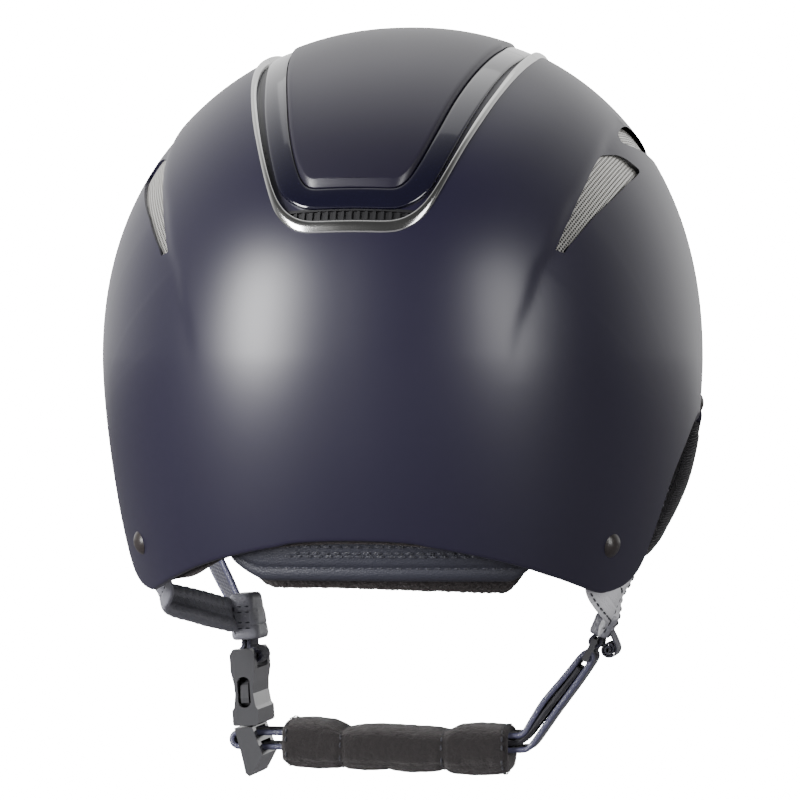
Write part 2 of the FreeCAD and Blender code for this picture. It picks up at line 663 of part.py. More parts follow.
def rect(sk, x0, x1, y0, y1):
    """Rectangle held from the sketch origin; each bound is (expression, starting value)."""
    import Sketcher
    n0 = sk.GeometryCount
    val = [q[1] for q in (x0, x1, y0, y1)]
    x0, x1, y0, y1 = [q[0] for q in (x0, x1, y0, y1)]
    c = [(val[0], val[2]), (val[1], val[2]), (val[1], val[3]), (val[0], val[3])]
    for k in range(4):
        a, b = c[k], c[(k + 1) % 4]
        sk.addGeometry(Part.LineSegment(V(a[0], a[1], 0), V(b[0], b[1], 0)), False)
    for k in range(4):
        sk.addConstraint(Sketcher.Constraint("Coincident", n0 + k, 2, n0 + (k + 1) % 4, 1))
    for k, kind in enumerate(("Horizontal", "Vertical", "Horizontal", "Vertical")):
        sk.addConstraint(Sketcher.Constraint(kind, n0 + k))
    for kind, g, e_, v in (("DistanceX", n0, x0, val[0]), ("DistanceX", n0 + 1, x1, val[1]),
                           ("DistanceY", n0, y0, val[2]), ("DistanceY", n0 + 2, y1, val[3])):
        i = sk.addConstraint(Sketcher.Constraint(kind, -1, 1, g, 1, v))
        sk.setExpression("Constraints[%d]" % i, e_)


def half_of(name, sign=1, plus=0.0):
    """Bound at half of a sheet size, plus an allowance."""
    return ("%s(dims.%s / 2 %+g)" % ("-" if sign < 0 else "", name, plus), sign * (S(name) / 2 + plus))


def at(v):
    return ("%g" % v, v)


def circle(sk, x, y, r_expr, r):
    import Sketcher
    g = sk.addGeometry(Part.Circle(V(x, y, 0), V(0, 0, 1), r), False)
    sk.addConstraint(Sketcher.Constraint("DistanceX", -1, 1, g, 3, x))
    sk.addConstraint(Sketcher.Constraint("DistanceY", -1, 1, g, 3, y))
    i = sk.addConstraint(Sketcher.Constraint("Radius", g, r))
    sk.setExpression("Constraints[%d]" % i, r_expr)


def polygon(sk, pts):
    import Sketcher
    n0 = sk.GeometryCount
    for k, a in enumerate(pts):
        b = pts[(k + 1) % len(pts)]
        sk.addGeometry(Part.LineSegment(V(a[0], a[1], 0), V(b[0], b[1], 0)), False)
    for k in range(len(pts)):
        sk.addConstraint(Sketcher.Constraint("Coincident", n0 + k, 2, n0 + (k + 1) % len(pts), 1))


def pad(b, name, sk, expr, mid=True):
    f = b.newObject("PartDesign::Pad", name)
    f.Profile = sk
    if mid:
        f.Midplane = True
    f.setExpression("Length", expr)
    return f


def pocket(b, name, sk, expr=None, mid=True, rev=False):
    f = b.newObject("PartDesign::Pocket", name)
    f.Profile = sk
    if mid:
        f.Midplane = True
    f.Reversed = rev
    f.setExpression("Length", expr)
    return f


# ---- rivets: a domed head, a shank through shell and strap tab, a washer behind
import Sketcher
rv = body("rivet_form")
sk = sketch(rv, "rivet_profile", "XZ_Plane")
hr, hh, sr, sl = S("rivet_head_r"), S("rivet_head_rise"), S("rivet_shank_r"), S("rivet_shank_len")
R = (hr * hr + hh * hh) / (2 * hh)
a0 = math.pi / 2 - math.asin(hr / R)
sk.addGeometry(Part.LineSegment(V(0, hh, 0), V(0, -sl, 0)), False)
sk.addGeometry(Part.LineSegment(V(0, -sl, 0), V(sr, -sl, 0)), False)
sk.addGeometry(Part.LineSegment(V(sr, -sl, 0), V(sr, 0, 0)), False)
sk.addGeometry(Part.LineSegment(V(sr, 0, 0), V(hr, 0, 0)), False)
sk.addGeometry(Part.ArcOfCircle(Part.Circle(V(0, hh - R, 0), V(0, 0, 1), R), a0, math.pi / 2), False)
for k in range(3):
    sk.addConstraint(Sketcher.Constraint("Coincident", k, 2, k + 1, 1))
sk.addConstraint(Sketcher.Constraint("Coincident", 3, 2, 4, 1))
sk.addConstraint(Sketcher.Constraint("Coincident", 4, 2, 0, 1))
rvf = rv.newObject("PartDesign::Revolution", "rivet_turned")
rvf.Profile = sk
rvf.ReferenceAxis = (sk, ["V_Axis"])
rvf.Angle = 360
rv.Tip = rvf
wb = body("washer_form")
sk = sketch(wb, "washer_ring", "XY_Plane")
circle(sk, 0, 0, "dims.washer_r", S("washer_r"))
circle(sk, 0, 0, "dims.rivet_shank_r + 0.05", S("rivet_shank_r") + 0.05)
wf = pad(wb, "washer_pad", sk, "dims.washer_thick", mid=False)
wb.Tip = wf
doc.recompute()


def placed(shape, p, n):
    c = shape.copy()
    c.Placement = FreeCAD.Placement(p, FreeCAD.Rotation(V(0, 0, 1), n))
    return c


for key in ("rear", "front"):
    feature(key + "_rivets", Part.makeCompound([placed(rv.Shape, *ANCHOR[(key, sd)]) for sd in (1, -1)]))
washers = []
for p, n in ANCHOR.values():
    washers.append(placed(wb.Shape, p - n * (wall + 3.7), n))
feature("rivet_washers", Part.makeCompound(washers))

# ---- harness straps as ribbons between their riveted tabs and the joining sleeves
YP, WW, WT = S("plane_y"), S("web_wide"), S("web_thick")


def smooth(pts, n):
    c = Part.BSplineCurve()
    c.interpolate(pts)
    return c.discretize(n), c


def ribbon(pts, outs, wides, thicks, n=17):
    ctr, c = smooth(pts, n)
    ws = []
    for i, q in enumerate(ctr):
        f = i / (n - 1.0) * (len(outs) - 1)
        k = min(int(f), len(outs) - 2)
        g = f - k
        t = ctr[min(i + 1, n - 1)] - ctr[max(i - 1, 0)]
        t.normalize()
        o = outs[k] * (1 - g) + outs[k + 1] * g
        o = o - t * o.dot(t)
        o.normalize()
        w = t.cross(o)
        W = (wides[k] * (1 - g) + wides[k + 1] * g) / 2
        T = (thicks[k] * (1 - g) + thicks[k + 1] * g) / 2
        ws.append([q + w * W + o * T, q - w * W + o * T, q - w * W - o * T, q + w * W - o * T])
    fs = []
    for a, b in ((0, 1), (1, 2), (2, 3), (3, 0)):
        fs.append(spline_surface([[r[a] for r in ws], [r[b] for r in ws]]).toShape())
    for r in (ws[0], ws[-1]):
        fs.append(Part.Face(Part.makePolygon(r + [r[0]])))
    return to_solid(fs)


def rear_strap(side, tail, wide=13.0):
    p, n = ANCHOR[("rear", side)]
    top = [side_pt(70.0, 21.5, side, TAB), p + n * TAB, side_pt(67.5, 9.5, side, TAB - 0.6), side_pt(62.0, 2.0, side, TAB - 2.8)]
    outs = [n, n, n, V(side * 0.86, 0.42, -0.25), V(side * 0.93, 0.2, -0.28), V(side * 0.95, 0.15, -0.24)]
    q = ribbon(top + tail, outs, [13, 14, 13.6, wide, wide, 12.6], [1.5, 1.5, 2.4, 4.2, 4.2, 3.2])
    return q.cut(Part.makeCylinder(2.4, 12, p - n * 9, n))


def front_strap(side, tail):
    p, n = ANCHOR[("front", side)]
    top = [side_pt(-33.0, 68.0, side, TAB), p + n * TAB, side_pt(-32.6, 56.5, side, TAB - 0.4)]
    outs = [n, n, V(side * 0.95, -0.1, 0.3), V(side * 0.9, 0, 0.42), V(side * 0.93, 0, 0.35)]
    q = ribbon(top + tail, outs, [13, 14, 13, 12, 12], [1.5, 1.5, 2.2, 2.2, 2.0])
    return q.cut(Part.makeCylinder(2.4, 12, p - n * 9, n))


def band_xz(pts, thick, wide, y0=None):
    """Webbing of even thickness following a path in the harness plane."""
    y0 = YP if y0 is None else y0
    c = Part.BSplineCurve()
    c.interpolate([V(x, 0, z) for x, z in pts])
    n = 8 * len(pts)
    q = c.discretize(n)
    l, r = [], []
    for i, a in enumerate(q):
        t = q[min(i + 1, n - 1)] - q[max(i - 1, 0)]
        t.normalize()
        o = V(-t.z, 0, t.x) * (thick / 2)
        l.append(a + o)
        r.append(a - o)
    cl, cr = Part.BSplineCurve(), Part.BSplineCurve()
    cl.interpolate(l)
    cr.interpolate(r)
    w = Part.Wire([cl.toShape(), Part.makeLine(l[-1], r[-1]), cr.toShape(), Part.makeLine(r[0], l[0])])
    f = Part.Face(w)
    f.translate(V(0, y0 - wide / 2.0, 0))
    return f.extrude(V(0, wide, 0))


def eye(x, z, r_in, thick, wide, y0=None):
    y0 = YP if y0 is None else y0
    p = V(x, y0 - wide / 2.0, z)
    return Part.makeCylinder(r_in + thick, wide, p, V(0, 1, 0)).cut(Part.makeCylinder(r_in, wide, p, V(0, 1, 0)))


def block(c, d, length, deep, wide, ends=0.8):
    """Box of a sleeve: centred on c, running along d in the harness plane."""
    b = Part.makeBox(deep, wide, length, V(-deep / 2, -wide / 2, -length / 2))
    b = b.makeFillet(deep * 0.28, [e_ for e_ in b.Edges])
    b.Placement = FreeCAD.Placement(c, FreeCAD.Rotation(V(0, 0, 1), d))
    return b


B0 = V(57.4, YP, -25.5)
CT = FreeCAD.Rotation(V(0, 1, 0), S("buckle_tilt"))
BAR = S("buckle_bar_r")
RW, RP = S("ring_wire_r"), S("ring_pitch")
RU = V(-65.3, YP, -19.5)
RA = FreeCAD.Rotation(V(0, 1, 0), -26.3)
RL = RU + RA.multVec(V(0, 0, -RP))

# left side
rs_l = rear_strap(1, [V(77.0, 47, -2.6), V(70.0, 29, -6.8), V(61.0, 8.0, -11.2)])
fs_l = front_strap(1, [V(87.0, -25, 38), V(76.5, -16, 16), V(66.5, -11.0, -2.0), V(60.0, -9.6, -13.0)])
d_l = V(0, 0, 1)
sl_l = block(V(57.2, -2.0, -11.6), V(-0.05, 0, 1), 17.0, 11.0, 27.0)
tongue_l = band_xz([(B0.x, B0.z + 1.9), (57.3, -22.0), (57.2, -19.5), (57.1, -16.0)], 2.8, WW)
loop_l = eye(B0.x, B0.z, BAR + 0.06, 1.8, WW).fuse(tongue_l.cut(Part.makeCylinder(BAR + 0.5, 40, V(B0.x, -30, B0.z), V(0, 1, 0))))
loop_l = loop_l.removeSplitter()
sl_l = sl_l.cut(rs_l).cut(fs_l).cut(loop_l)
# right side
up = V(-0.38, 0, 0.925)
rs_r = rear_strap(-1, [V(-76.5, 47, -3.5), V(-74.0, 27, -6.0), V(-71.6, 9.0, -7.5)])
fs_r = front_strap(-1, [V(-88.5, -25, 39), V(-80.0, -15.5, 17), V(-73.8, -9.5, 0.5), V(-71.0, -9.0, -9.0)])
sl_r = block(V(-69.9, -2.0, -8.3), up, 15.5, 10.5, 26.0)
tongue_r = band_xz([(RU.x - 0.7, RU.z + 1.7), (RU.x - 1.6, RU.z + 3.9), (RU.x - 2.6, RU.z + 6.4), (RU.x - 3.5, RU.z + 8.6)], 2.6, WW)
loop_r = eye(RU.x, RU.z, RW + 0.06, 1.2, WW).fuse(tongue_r.cut(Part.makeCylinder(RW + 0.5, 40, V(RU.x, -30, RU.z), V(0, 1, 0))))
loop_r = loop_r.removeSplitter()
sl_r = sl_r.cut(rs_r).cut(fs_r).cut(loop_r)
for nm, q in (("rear_strap_left", rs_l), ("front_strap_left", fs_l), ("strap_sleeve_left", sl_l), ("buckle_loop_left", loop_l),
              ("rear_strap_right", rs_r), ("front_strap_right", fs_r), ("strap_sleeve_right", sl_r), ("ring_loop_right", loop_r)):
    feature(nm, q)
    print(nm, q.isValid(), len(q.Solids), round(q.Volume, 1))

# ---- side release buckle, in its own frame: bar at the origin, body below it
CUP = B0
fb = body("buckle_female")
sk = sketch(fb, "female_outline", "XZ_Plane")
hd = S("buckle_deep") / 2
polygon(sk, [(-hd + 1.2, 2.6), (hd - 1.2, 2.6), (hd, 0.8), (hd, -5.0), (hd - 0.9, -9.5), (hd - 1.1, -13.0), (hd - 0.5, -17.5),
             (hd + 0.3, -18.6), (hd + 0.3, -23.4), (hd - 0.3, -24.0), (-hd + 0.3, -24.0), (-hd - 0.3, -23.4), (-hd - 0.3, -18.6),
             (-hd + 0.5, -17.5), (-hd + 1.1, -13.0), (-hd + 0.9, -9.5), (-hd, -5.0), (-hd, 0.8)])
pad(fb, "female_block", sk, "dims.buckle_wide")
sk = sketch(fb, "lug_slot", "YZ_Plane")
rect(sk, half_of("lug_gap", -1), half_of("lug_gap"), at(-4.4), at(6))
pocket(fb, "lug_cut", sk, "dims.buckle_deep * 2")
sk = sketch(fb, "prong_cavity", "XZ_Plane")
rect(sk, half_of("cavity_deep", -1), half_of("cavity_deep"), at(-25), at(-7.4))
pocket(fb, "cavity_cut", sk, "dims.cavity_wide")
sk = sketch(fb, "press_window", "XZ_Plane")
wh = S("window_half")
sk.addGeometry(Part.ArcOfCircle(Part.Circle(V(0, -9.2, 0), V(0, 0, 1), wh), 0, math.pi), False)
sk.addGeometry(Part.LineSegment(V(-wh, -9.2, 0), V(-wh, -15.6, 0)), False)
sk.addGeometry(Part.ArcOfCircle(Part.Circle(V(0, -15.6, 0), V(0, 0, 1), wh), math.pi, 2 * math.pi), False)
sk.addGeometry(Part.LineSegment(V(wh, -15.6, 0), V(wh, -9.2, 0)), False)
for k in range(4):
    sk.addConstraint(Sketcher.Constraint("Coincident", k, 2, (k + 1) % 4, 1))
pocket(fb, "window_cut", sk, "dims.buckle_wide * 2")
sk = sketch(fb, "bar_end", "XZ_Plane")
circle(sk, 0, 0, "dims.buckle_bar_r", BAR)
tip = pad(fb, "loop_bar", sk, "dims.lug_gap + 4")
fb.Tip = tip
fb.Placement = FreeCAD.Placement(CUP, CT)

mb = body("buckle_male")
sk = sketch(mb, "male_outline", "XZ_Plane")
polygon(sk, [(-1.9, -24.7), (4.5, -24.7), (3.5, -29.3), (2.5, -34.4), (1.5, -40.6), (0.2, -41.8), (-1.0, -41.2), (-5.0, -34.6)])
pad(mb, "male_block", sk, "dims.buckle_wide - 2")
for nm, z in (("upper_slot", -26.75), ("lower_slot", -31.75)):
    sk = sketch(mb, nm, "XZ_Plane")
    rect(sk, at(-14), at(14), at(z - 1.7), at(z + 1.7))
    pocket(mb, nm + "_cut", sk, "dims.web_wide + 1.2")
sk = sketch(mb, "guide_outline", "XZ_Plane")
rect(sk, at(-1.0), at(1.0), at(-24.9), at(-20.2))
tip = pad(mb, "guide_tongue", sk, "8")
mb.Tip = tip
mb.Placement = FreeCAD.Placement(CUP, CT)

# a prong: arm from the male block up into the housing, press tab standing out through the window
prongs = []
for sd, nm in ((-1, "buckle_prong_front"), (1, "buckle_prong_rear")):
    pb = body(nm)
    sk = sketch(pb, nm + "_arm", "YZ_Plane")
    if sd > 0:
        polygon(sk, [(7.4, -24.5), (9.6, -24.5), (9.8, -20.0), (10.1, -9.6), (9.0, -7.9), (7.9, -8.6), (7.8, -20.0)])
    else:
        polygon(sk, [(-9.6, -24.5), (-7.4, -24.5), (-7.8, -20.0), (-7.9, -8.6), (-9.0, -7.9), (-10.1, -9.6), (-9.8, -20.0)])
    pad(pb, nm + "_arm_pad", sk, "dims.cavity_deep - 1.4")
    sk = sketch(pb, nm + "_tab", "YZ_Plane")
    if sd > 0:
        polygon(sk, [(9.2, -16.6), (13.0, -16.2), (13.4, -14.5), (12.6, -10.0), (10.4, -8.4), (9.2, -8.6)])
    else:
        polygon(sk, [(-13.0, -16.2), (-9.2, -16.6), (-9.2, -8.6), (-10.4, -8.4), (-12.6, -10.0), (-13.4, -14.5)])
    pb.Tip = pad(pb, nm + "_tab_pad", sk, "dims.window_half * 2 - 1.6")
    pb.Placement = FreeCAD.Placement(CUP, CT)
    prongs.append(pb)

# ring between the right harness loop and the chin strap
gb = body("chin_ring")
sk = sketch(gb, "ring_frame", "YZ_Plane")
rect(sk, half_of("ring_wide", -1), half_of("ring_wide"), ("-dims.ring_pitch - dims.ring_wire_r", -RP - RW), ("dims.ring_wire_r", RW))
pad(gb, "ring_blank", sk, "dims.ring_wire_r * 1.7")
sk = sketch(gb, "ring_opening", "YZ_Plane")
rect(sk, half_of("ring_wide", -1, -2), half_of("ring_wide", 1, -2), ("-dims.ring_pitch - 3", -RP - 3), at(3))
pocket(gb, "ring_window", sk, "8")
sk = sketch(gb, "bar_ends", "XZ_Plane")
circle(sk, 0, 0, "dims.ring_wire_r", RW)
circle(sk, 0, -RP, "dims.ring_wire_r", RW)
gb.Tip = pad(gb, "ring_bars", sk, "dims.ring_wide")
gb.Placement = FreeCAD.Placement(RU, RA)
doc.recompute()

# chin strap: doubled webbing, an eye at the ring, a return round the male block's middle bar
L = (RL.x, RL.z)
ZU, ZL = -52.2, -57.2
lay_u = band_xz([(L[0] + 1.66, L[1] + 1.0), (-56.2, -31.6), (-50.2, -39.8), (-44.8, -47.0), (-41.0, -51.0), (-38.4, ZU)], WT, WW)
lay_l = band_xz([(L[0] - 1.66, L[1] - 1.0), (-60.6, -34.4), (-54.6, -44.0), (-48.4, -52.2), (-43.0, -56.4), (-38.4, ZL)], WT, WW)
XR = 59.6


def slab(x0, x1, z):
    return Part.makeBox(x1 - x0, WW, WT, V(x0, YP - WW / 2, z - WT / 2))


zm = (ZU + ZL) / 2
ro, ri = (ZU - ZL) / 2 + WT / 2, (ZU - ZL) / 2 - WT / 2
turn = Part.makeCylinder(ro, WW, V(XR, YP - WW / 2, zm), V(0, 1, 0)).cut(Part.makeCylinder(ri, WW, V(XR, YP - WW / 2, zm), V(0, 1, 0)))
turn = turn.common(Part.makeBox(10, WW, 20, V(XR, YP - WW / 2, zm - 10)))
strap = eye(L[0], L[1], RW + 0.06, WT, WW)
for q in (lay_u, lay_l):
    strap = strap.fuse(q.cut(Part.makeCylinder(RW + 0.5, 40, V(L[0], -30, L[1]), V(0, 1, 0))))
for q in (slab(-38.4, XR, ZU), slab(-38.4, XR, ZL), turn):
    strap = strap.fuse(q)
strap = strap.removeSplitter()
feature("chin_strap", strap)

# padded sleeve on the chin strap, with two shallow pinches, hollow for both layers
PLN, PH, PD = S("pad_len"), S("pad_high"), S("pad_deep")
secs = []
for x, k in ((-36, 0.86), (-34, 0.98), (-29, 1.0), (-24, 0.93), (-18, 1.0), (-6, 1.01), (4, 0.98), (14, 1.0), (20, 0.93), (26, 1.0), (38, 1.0), (42, 0.97), (44, 0.86)):
    pts = []
    for j in range(32):
        a = 2 * math.pi * j / 32
        c, d = math.cos(a), math.sin(a)
        pts.append(V(x, YP + PD / 2 * k * math.copysign(abs(c) ** 0.62, c), -56.0 + PH / 2 * k * math.copysign(abs(d) ** 0.7, d)))
    c = Part.BSplineCurve()
    c.interpolate(pts, PeriodicFlag=True)
    secs.append(Part.Wire([c.toShape()]))
cpad = Part.makeLoft(secs, True, False)
cpad = cpad.cut(Part.makeBox(PLN + 20, WW + 1.4, 7.2, V(-50, YP - WW / 2 - 0.7, -58.3)))
feature("chin_pad", cpad)
roll = Part.makeCylinder(2.5, WW, V(-70.9, YP - WW / 2, -21.4), V(0, 1, 0))
roll = roll.makeFillet(0.8, [e_ for e_ in roll.Edges if e_.Curve.TypeId == "Part::GeomCircle"])
feature("strap_end_roll", roll)
doc.recompute()

NODES = ["outer_shell", "eps_liner", "crown_panel", "panel_band_rear", "panel_band_front", "chrome_trim_rear", "chrome_trim_front",
         "rear_vent_grille", "front_vent_grille", "side_vent_mesh_rear", "side_vent_mesh_front", "peak", "peak_lining",
         "peak_edge_binding", "comfort_headband", "crown_pad", "nape_pad", "nape_fleece", "rim_lining", "rear_rivets", "front_rivets",
         "rivet_washers", "rear_strap_left", "front_strap_left", "strap_sleeve_left", "buckle_loop_left", "rear_strap_right",
         "front_strap_right", "strap_sleeve_right", "ring_loop_right", "strap_end_roll", "buckle_female", "buckle_male",
         "buckle_prong_front", "buckle_prong_rear", "chin_ring", "chin_strap", "chin_pad"]
for o in doc.Objects:
    if "Invalid" in o.State or "Error" in o.State:
        raise RuntimeError("object in error: " + o.Name)
os.makedirs("parts", exist_ok=True)
for nm in NODES:
    o = [q for q in doc.Objects if q.Label == nm][0]
    shp = o.Shape
    if shp.isNull() or not shp.isValid() or shp.Volume <= 0:
        raise RuntimeError("bad shape: " + nm)
    shp.exportStep("parts/%s.step" % nm)
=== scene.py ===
"""A navy helmet with a peak, a crown inset, perforated side vents, a harness and a padded chin strap.

Sizes are in millimetres until a mesh is made. +Z is up, the peak points to -Y, the nape is
at +Y and the wearer's left is +X. The form's lowest part lies near z = 0.
"""
import math
import random

import bpy
import bmesh
import numpy as np
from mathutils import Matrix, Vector

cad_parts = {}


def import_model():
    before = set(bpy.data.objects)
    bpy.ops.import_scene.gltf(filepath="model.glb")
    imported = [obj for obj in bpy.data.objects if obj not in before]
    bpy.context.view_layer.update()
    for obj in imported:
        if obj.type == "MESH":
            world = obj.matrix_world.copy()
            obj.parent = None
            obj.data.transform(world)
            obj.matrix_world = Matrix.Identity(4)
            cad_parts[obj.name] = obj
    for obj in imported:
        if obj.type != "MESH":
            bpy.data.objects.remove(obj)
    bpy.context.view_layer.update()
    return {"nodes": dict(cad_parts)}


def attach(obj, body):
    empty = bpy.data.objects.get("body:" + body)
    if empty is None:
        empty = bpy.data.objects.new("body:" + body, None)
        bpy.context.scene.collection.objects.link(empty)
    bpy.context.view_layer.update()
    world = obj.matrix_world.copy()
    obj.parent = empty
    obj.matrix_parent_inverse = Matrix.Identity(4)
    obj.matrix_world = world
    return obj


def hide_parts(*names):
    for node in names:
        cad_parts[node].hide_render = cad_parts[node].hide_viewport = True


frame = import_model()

random.seed(7)
RNG = np.random.default_rng(7)
MM = 0.001
FULL_TURN = 2 * math.pi
for cad_node in frame["nodes"].values():
    cad_node.data.materials.clear()

# ---------------------------------------------------------------- the helmet's form
HALF_WIDTH = 101.9
REAR_DEPTH = 117.0
FRONT_DEPTH = 136.0
FORM_Y = 8.0          # where the front and rear halves meet
WAIST_Z = 78.0        # the dome rises from here and the skirt tapers below
DOME_RISE = 114.8
DOME_SHIFT = -18.6    # forward lean of the dome's axis at its top
PLAN_POWER = 2.2      # superellipse exponents in plan and upwards
DOME_POWER = 2.15
TAPER = 0.102         # narrowing of the skirt from the waist to z = 0
REAR_TAPER, FRONT_TAPER = 0.067, 0.02    # added at the back and the front
CENTRE = np.array([0.0, 5.0, 40.0])      # rays are cast from here


def form(points):
    """Field of the form: negative inside, zero on the surface."""
    x, z = points[..., 0], points[..., 2]
    rise = (z - WAIST_Z) / DOME_RISE
    y = points[..., 1] - FORM_Y - DOME_SHIFT * np.clip(rise, 0, 1.3) ** 2
    depth = np.where(y > 0, REAR_DEPTH, FRONT_DEPTH)
    plan = ((np.abs(x) / HALF_WIDTH) ** PLAN_POWER
            + (np.abs(y) / depth) ** PLAN_POWER) ** (1 / PLAN_POWER)
    sine = np.sin(np.arctan2(y / depth, x / HALF_WIDTH))
    dome = (plan ** DOME_POWER + np.clip(rise, 0, None) ** DOME_POWER) ** (1 / DOME_POWER) - 1
    fall = np.clip((WAIST_Z - z) / WAIST_Z, 0, 2)
    taper = TAPER + np.where(sine > 0, REAR_TAPER, FRONT_TAPER) * sine ** 2
    skirt = plan / (1 - taper * fall ** 1.6) - 1
    return np.where(z > WAIST_Z, dome, skirt)


def normal(points):
    """Outward normals, by central differences of the field."""
    steps = np.eye(3) * 0.6
    slope = np.stack([form(points + step) - form(points - step) for step in steps], -1)
    return slope / np.linalg.norm(slope, axis=-1, keepdims=True)


def cast(origin, direction):
    """Where rays from inside meet the form, by bisection."""
    origin, direction = np.broadcast_arrays(np.asarray(origin, float),
                                            np.asarray(direction, float))
    low = np.zeros(direction.shape[:-1])
    high = np.full(direction.shape[:-1], 260.0)
    for _ in range(40):
        middle = 0.5 * (low + high)
        inside = form(origin + direction * middle[..., None]) < 0
        low = np.where(inside, middle, low)
        high = np.where(inside, high, middle)
    return origin + direction * (0.5 * (low + high))[..., None]


def fan(x, phi, lift=0.0):
    """Surface points by x and by the side-view angle phi about CENTRE, raised by lift."""
    x, phi, lift = np.broadcast_arrays(*(np.asarray(value, float) for value in (x, phi, lift)))
    origin = np.stack([x, np.full(x.shape, CENTRE[1]), np.full(x.shape, CENTRE[2])], -1)
    direction = np.stack([np.zeros(x.shape), np.cos(phi), np.sin(phi)], -1)
    points = cast(origin, direction)
    return points + normal(points) * lift[..., None]


def polar(theta, z, lift=0.0):
    """Surface points by the plan angle theta and by height, raised by lift."""
    theta, z, lift = np.broadcast_arrays(
        *(np.asarray(value, float) for value in (theta, z, lift)))
    axis_y = FORM_Y + DOME_SHIFT * np.clip((z - WAIST_Z) / DOME_RISE, 0, 1.3) ** 2
    origin = np.stack([np.zeros(theta.shape), axis_y, z], -1)
    direction = np.stack([np.cos(theta), np.sin(theta), np.zeros(theta.shape)], -1)
    points = cast(origin, direction)
    return points + normal(points) * lift[..., None]


def snap(points, lift=0.0):
    """Points moved onto the surface along rays from CENTRE."""
    rays = np.asarray(points, float) - CENTRE
    rays = rays / np.linalg.norm(rays, axis=-1, keepdims=True)
    points = cast(CENTRE, rays)
    return points + normal(points) * lift


def side_point(y, z, side, lift=0.0):
    """Surface point straight out to one side; side is 1 on the left, -1 on the right."""
    point = cast(np.array([0, y, z]), np.array([side, 0, 0.0]))
    return point + normal(point) * lift


# ---------------------------------------------------------------- mesh helpers
def make(name, verts, faces, material, slot, body="helmet", node=None, angle=None,
         smooth=True, weld=None):
    """A mesh object; weld joins near vertices and angle marks sharp edges, in degrees."""
    mesh = bpy.data.meshes.new(name)
    mesh.from_pydata([tuple(v) for v in (np.asarray(verts, float) * MM)], [],
                     [tuple(int(i) for i in face) for face in faces])
    mesh.validate()
    work = bmesh.new()
    work.from_mesh(mesh)
    if weld:
        bmesh.ops.remove_doubles(work, verts=work.verts, dist=weld)
    bmesh.ops.recalc_face_normals(work, faces=work.faces)
    work.to_mesh(mesh)
    work.free()
    obj = bpy.data.objects.new(name, mesh)
    bpy.context.scene.collection.objects.link(obj)
    if smooth:
        set_smooth(mesh, angle)
    if material:
        mesh.materials.append(material)
    if body:
        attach(obj, body)
    if node:
        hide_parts(node)
    return obj


def set_smooth(mesh, angle=None):
    mesh.polygons.foreach_set("use_smooth", [True] * len(mesh.polygons))
    if angle is not None:
        mesh.set_sharp_from_angle(angle=math.radians(angle))


def grid_faces(rows, columns, start=0, wrap=False, flip=False):
    faces = []
    for i in range(rows - 1):
        for j in range(columns if wrap else columns - 1):
            near, near_next = start + i * columns + j, start + i * columns + (j + 1) % columns
            far, far_next = near + columns, near_next + columns
            faces.append((near, far, far_next, near_next) if flip
                         else (near, near_next, far_next, far))
    return faces


class Parts:
    """Gathers the vertices and faces of several parts into one mesh."""

    def __init__(self):
        self.verts, self.faces = [], []

    def add(self, verts, faces):
        start = len(self.verts)
        self.verts.extend(tuple(v) for v in verts)
        self.faces.extend(tuple(i + start for i in face) for face in faces)
        return self

    def tube(self, rings, closed=False):
        """Skin over closed sections, capped, or joined end to end when closed."""
        rings = np.asarray(rings, float)
        count, around = rings.shape[:2]
        faces = grid_faces(count, around, wrap=True)
        last = (count - 1) * around
        if closed:
            faces += [(last + j, last + (j + 1) % around, (j + 1) % around, j)
                      for j in range(around)]
        else:
            faces += [tuple(range(around - 1, -1, -1)), tuple(range(last, last + around))]
        return self.add(rings.reshape(-1, 3), faces)

    def slab(self, top, bottom):
        """Closed slab between two grids of points."""
        rows, columns = top.shape[:2]
        below = rows * columns
        faces = grid_faces(rows, columns) + grid_faces(rows, columns, below, flip=True)
        rim = ([j for j in range(columns)]
               + [i * columns + columns - 1 for i in range(1, rows)]
               + [(rows - 1) * columns + j for j in range(columns - 2, -1, -1)]
               + [i * columns for i in range(rows - 2, 0, -1)])
        for here, after in zip(rim, rim[1:] + rim[:1]):
            faces.append((here, here + below, after + below, after))
        return self.add(np.concatenate([top.reshape(-1, 3), bottom.reshape(-1, 3)]), faces)

    def build(self, name, material, slot, body="helmet", **options):
        return make(name, self.verts, self.faces, material, slot, body, **options)


def smooth_curve(points, count):
    """Uniform Catmull-Rom curve through the points."""
    pts = np.asarray(points, float)
    pts = np.vstack([2 * pts[0] - pts[1], pts, 2 * pts[-1] - pts[-2]])
    spans = len(pts) - 3
    curve = []
    for i in range(count):
        place = i * spans / (count - 1.0)
        j = min(int(place), spans - 1)
        u = place - j
        before, start, end, after = pts[j:j + 4]
        curve.append(0.5 * ((2 * start) + (end - before) * u
                            + (2 * before - 5 * start + 4 * end - after) * u * u
                            + (3 * start - before - 3 * end + after) * u ** 3))
    return np.array(curve)


def run_lengths(path):
    """Distance from the start of the path at each of its points."""
    return np.concatenate([[0], np.cumsum(np.linalg.norm(np.diff(path, axis=0), axis=1))])


def sample(values, knots, where):
    return np.stack([np.interp(where, knots, column) for column in values.T], -1)


def resample(path, count):
    """The same path with evenly spaced points."""
    path = np.asarray(path, float)
    lengths = run_lengths(path)
    return sample(path, lengths, np.linspace(0, lengths[-1], count))


def unit(vectors):
    return vectors / np.maximum(np.linalg.norm(vectors, axis=-1, keepdims=True), 1e-9)


def tangents(path, closed=False):
    if closed:
        return unit(np.roll(path, -1, 0) - np.roll(path, 1, 0))
    return unit(np.gradient(path, axis=0))


def square_off(tangent, vectors):
    """The vectors with their share along the tangent taken out."""
    return unit(vectors - tangent * (vectors * tangent).sum(-1, keepdims=True))


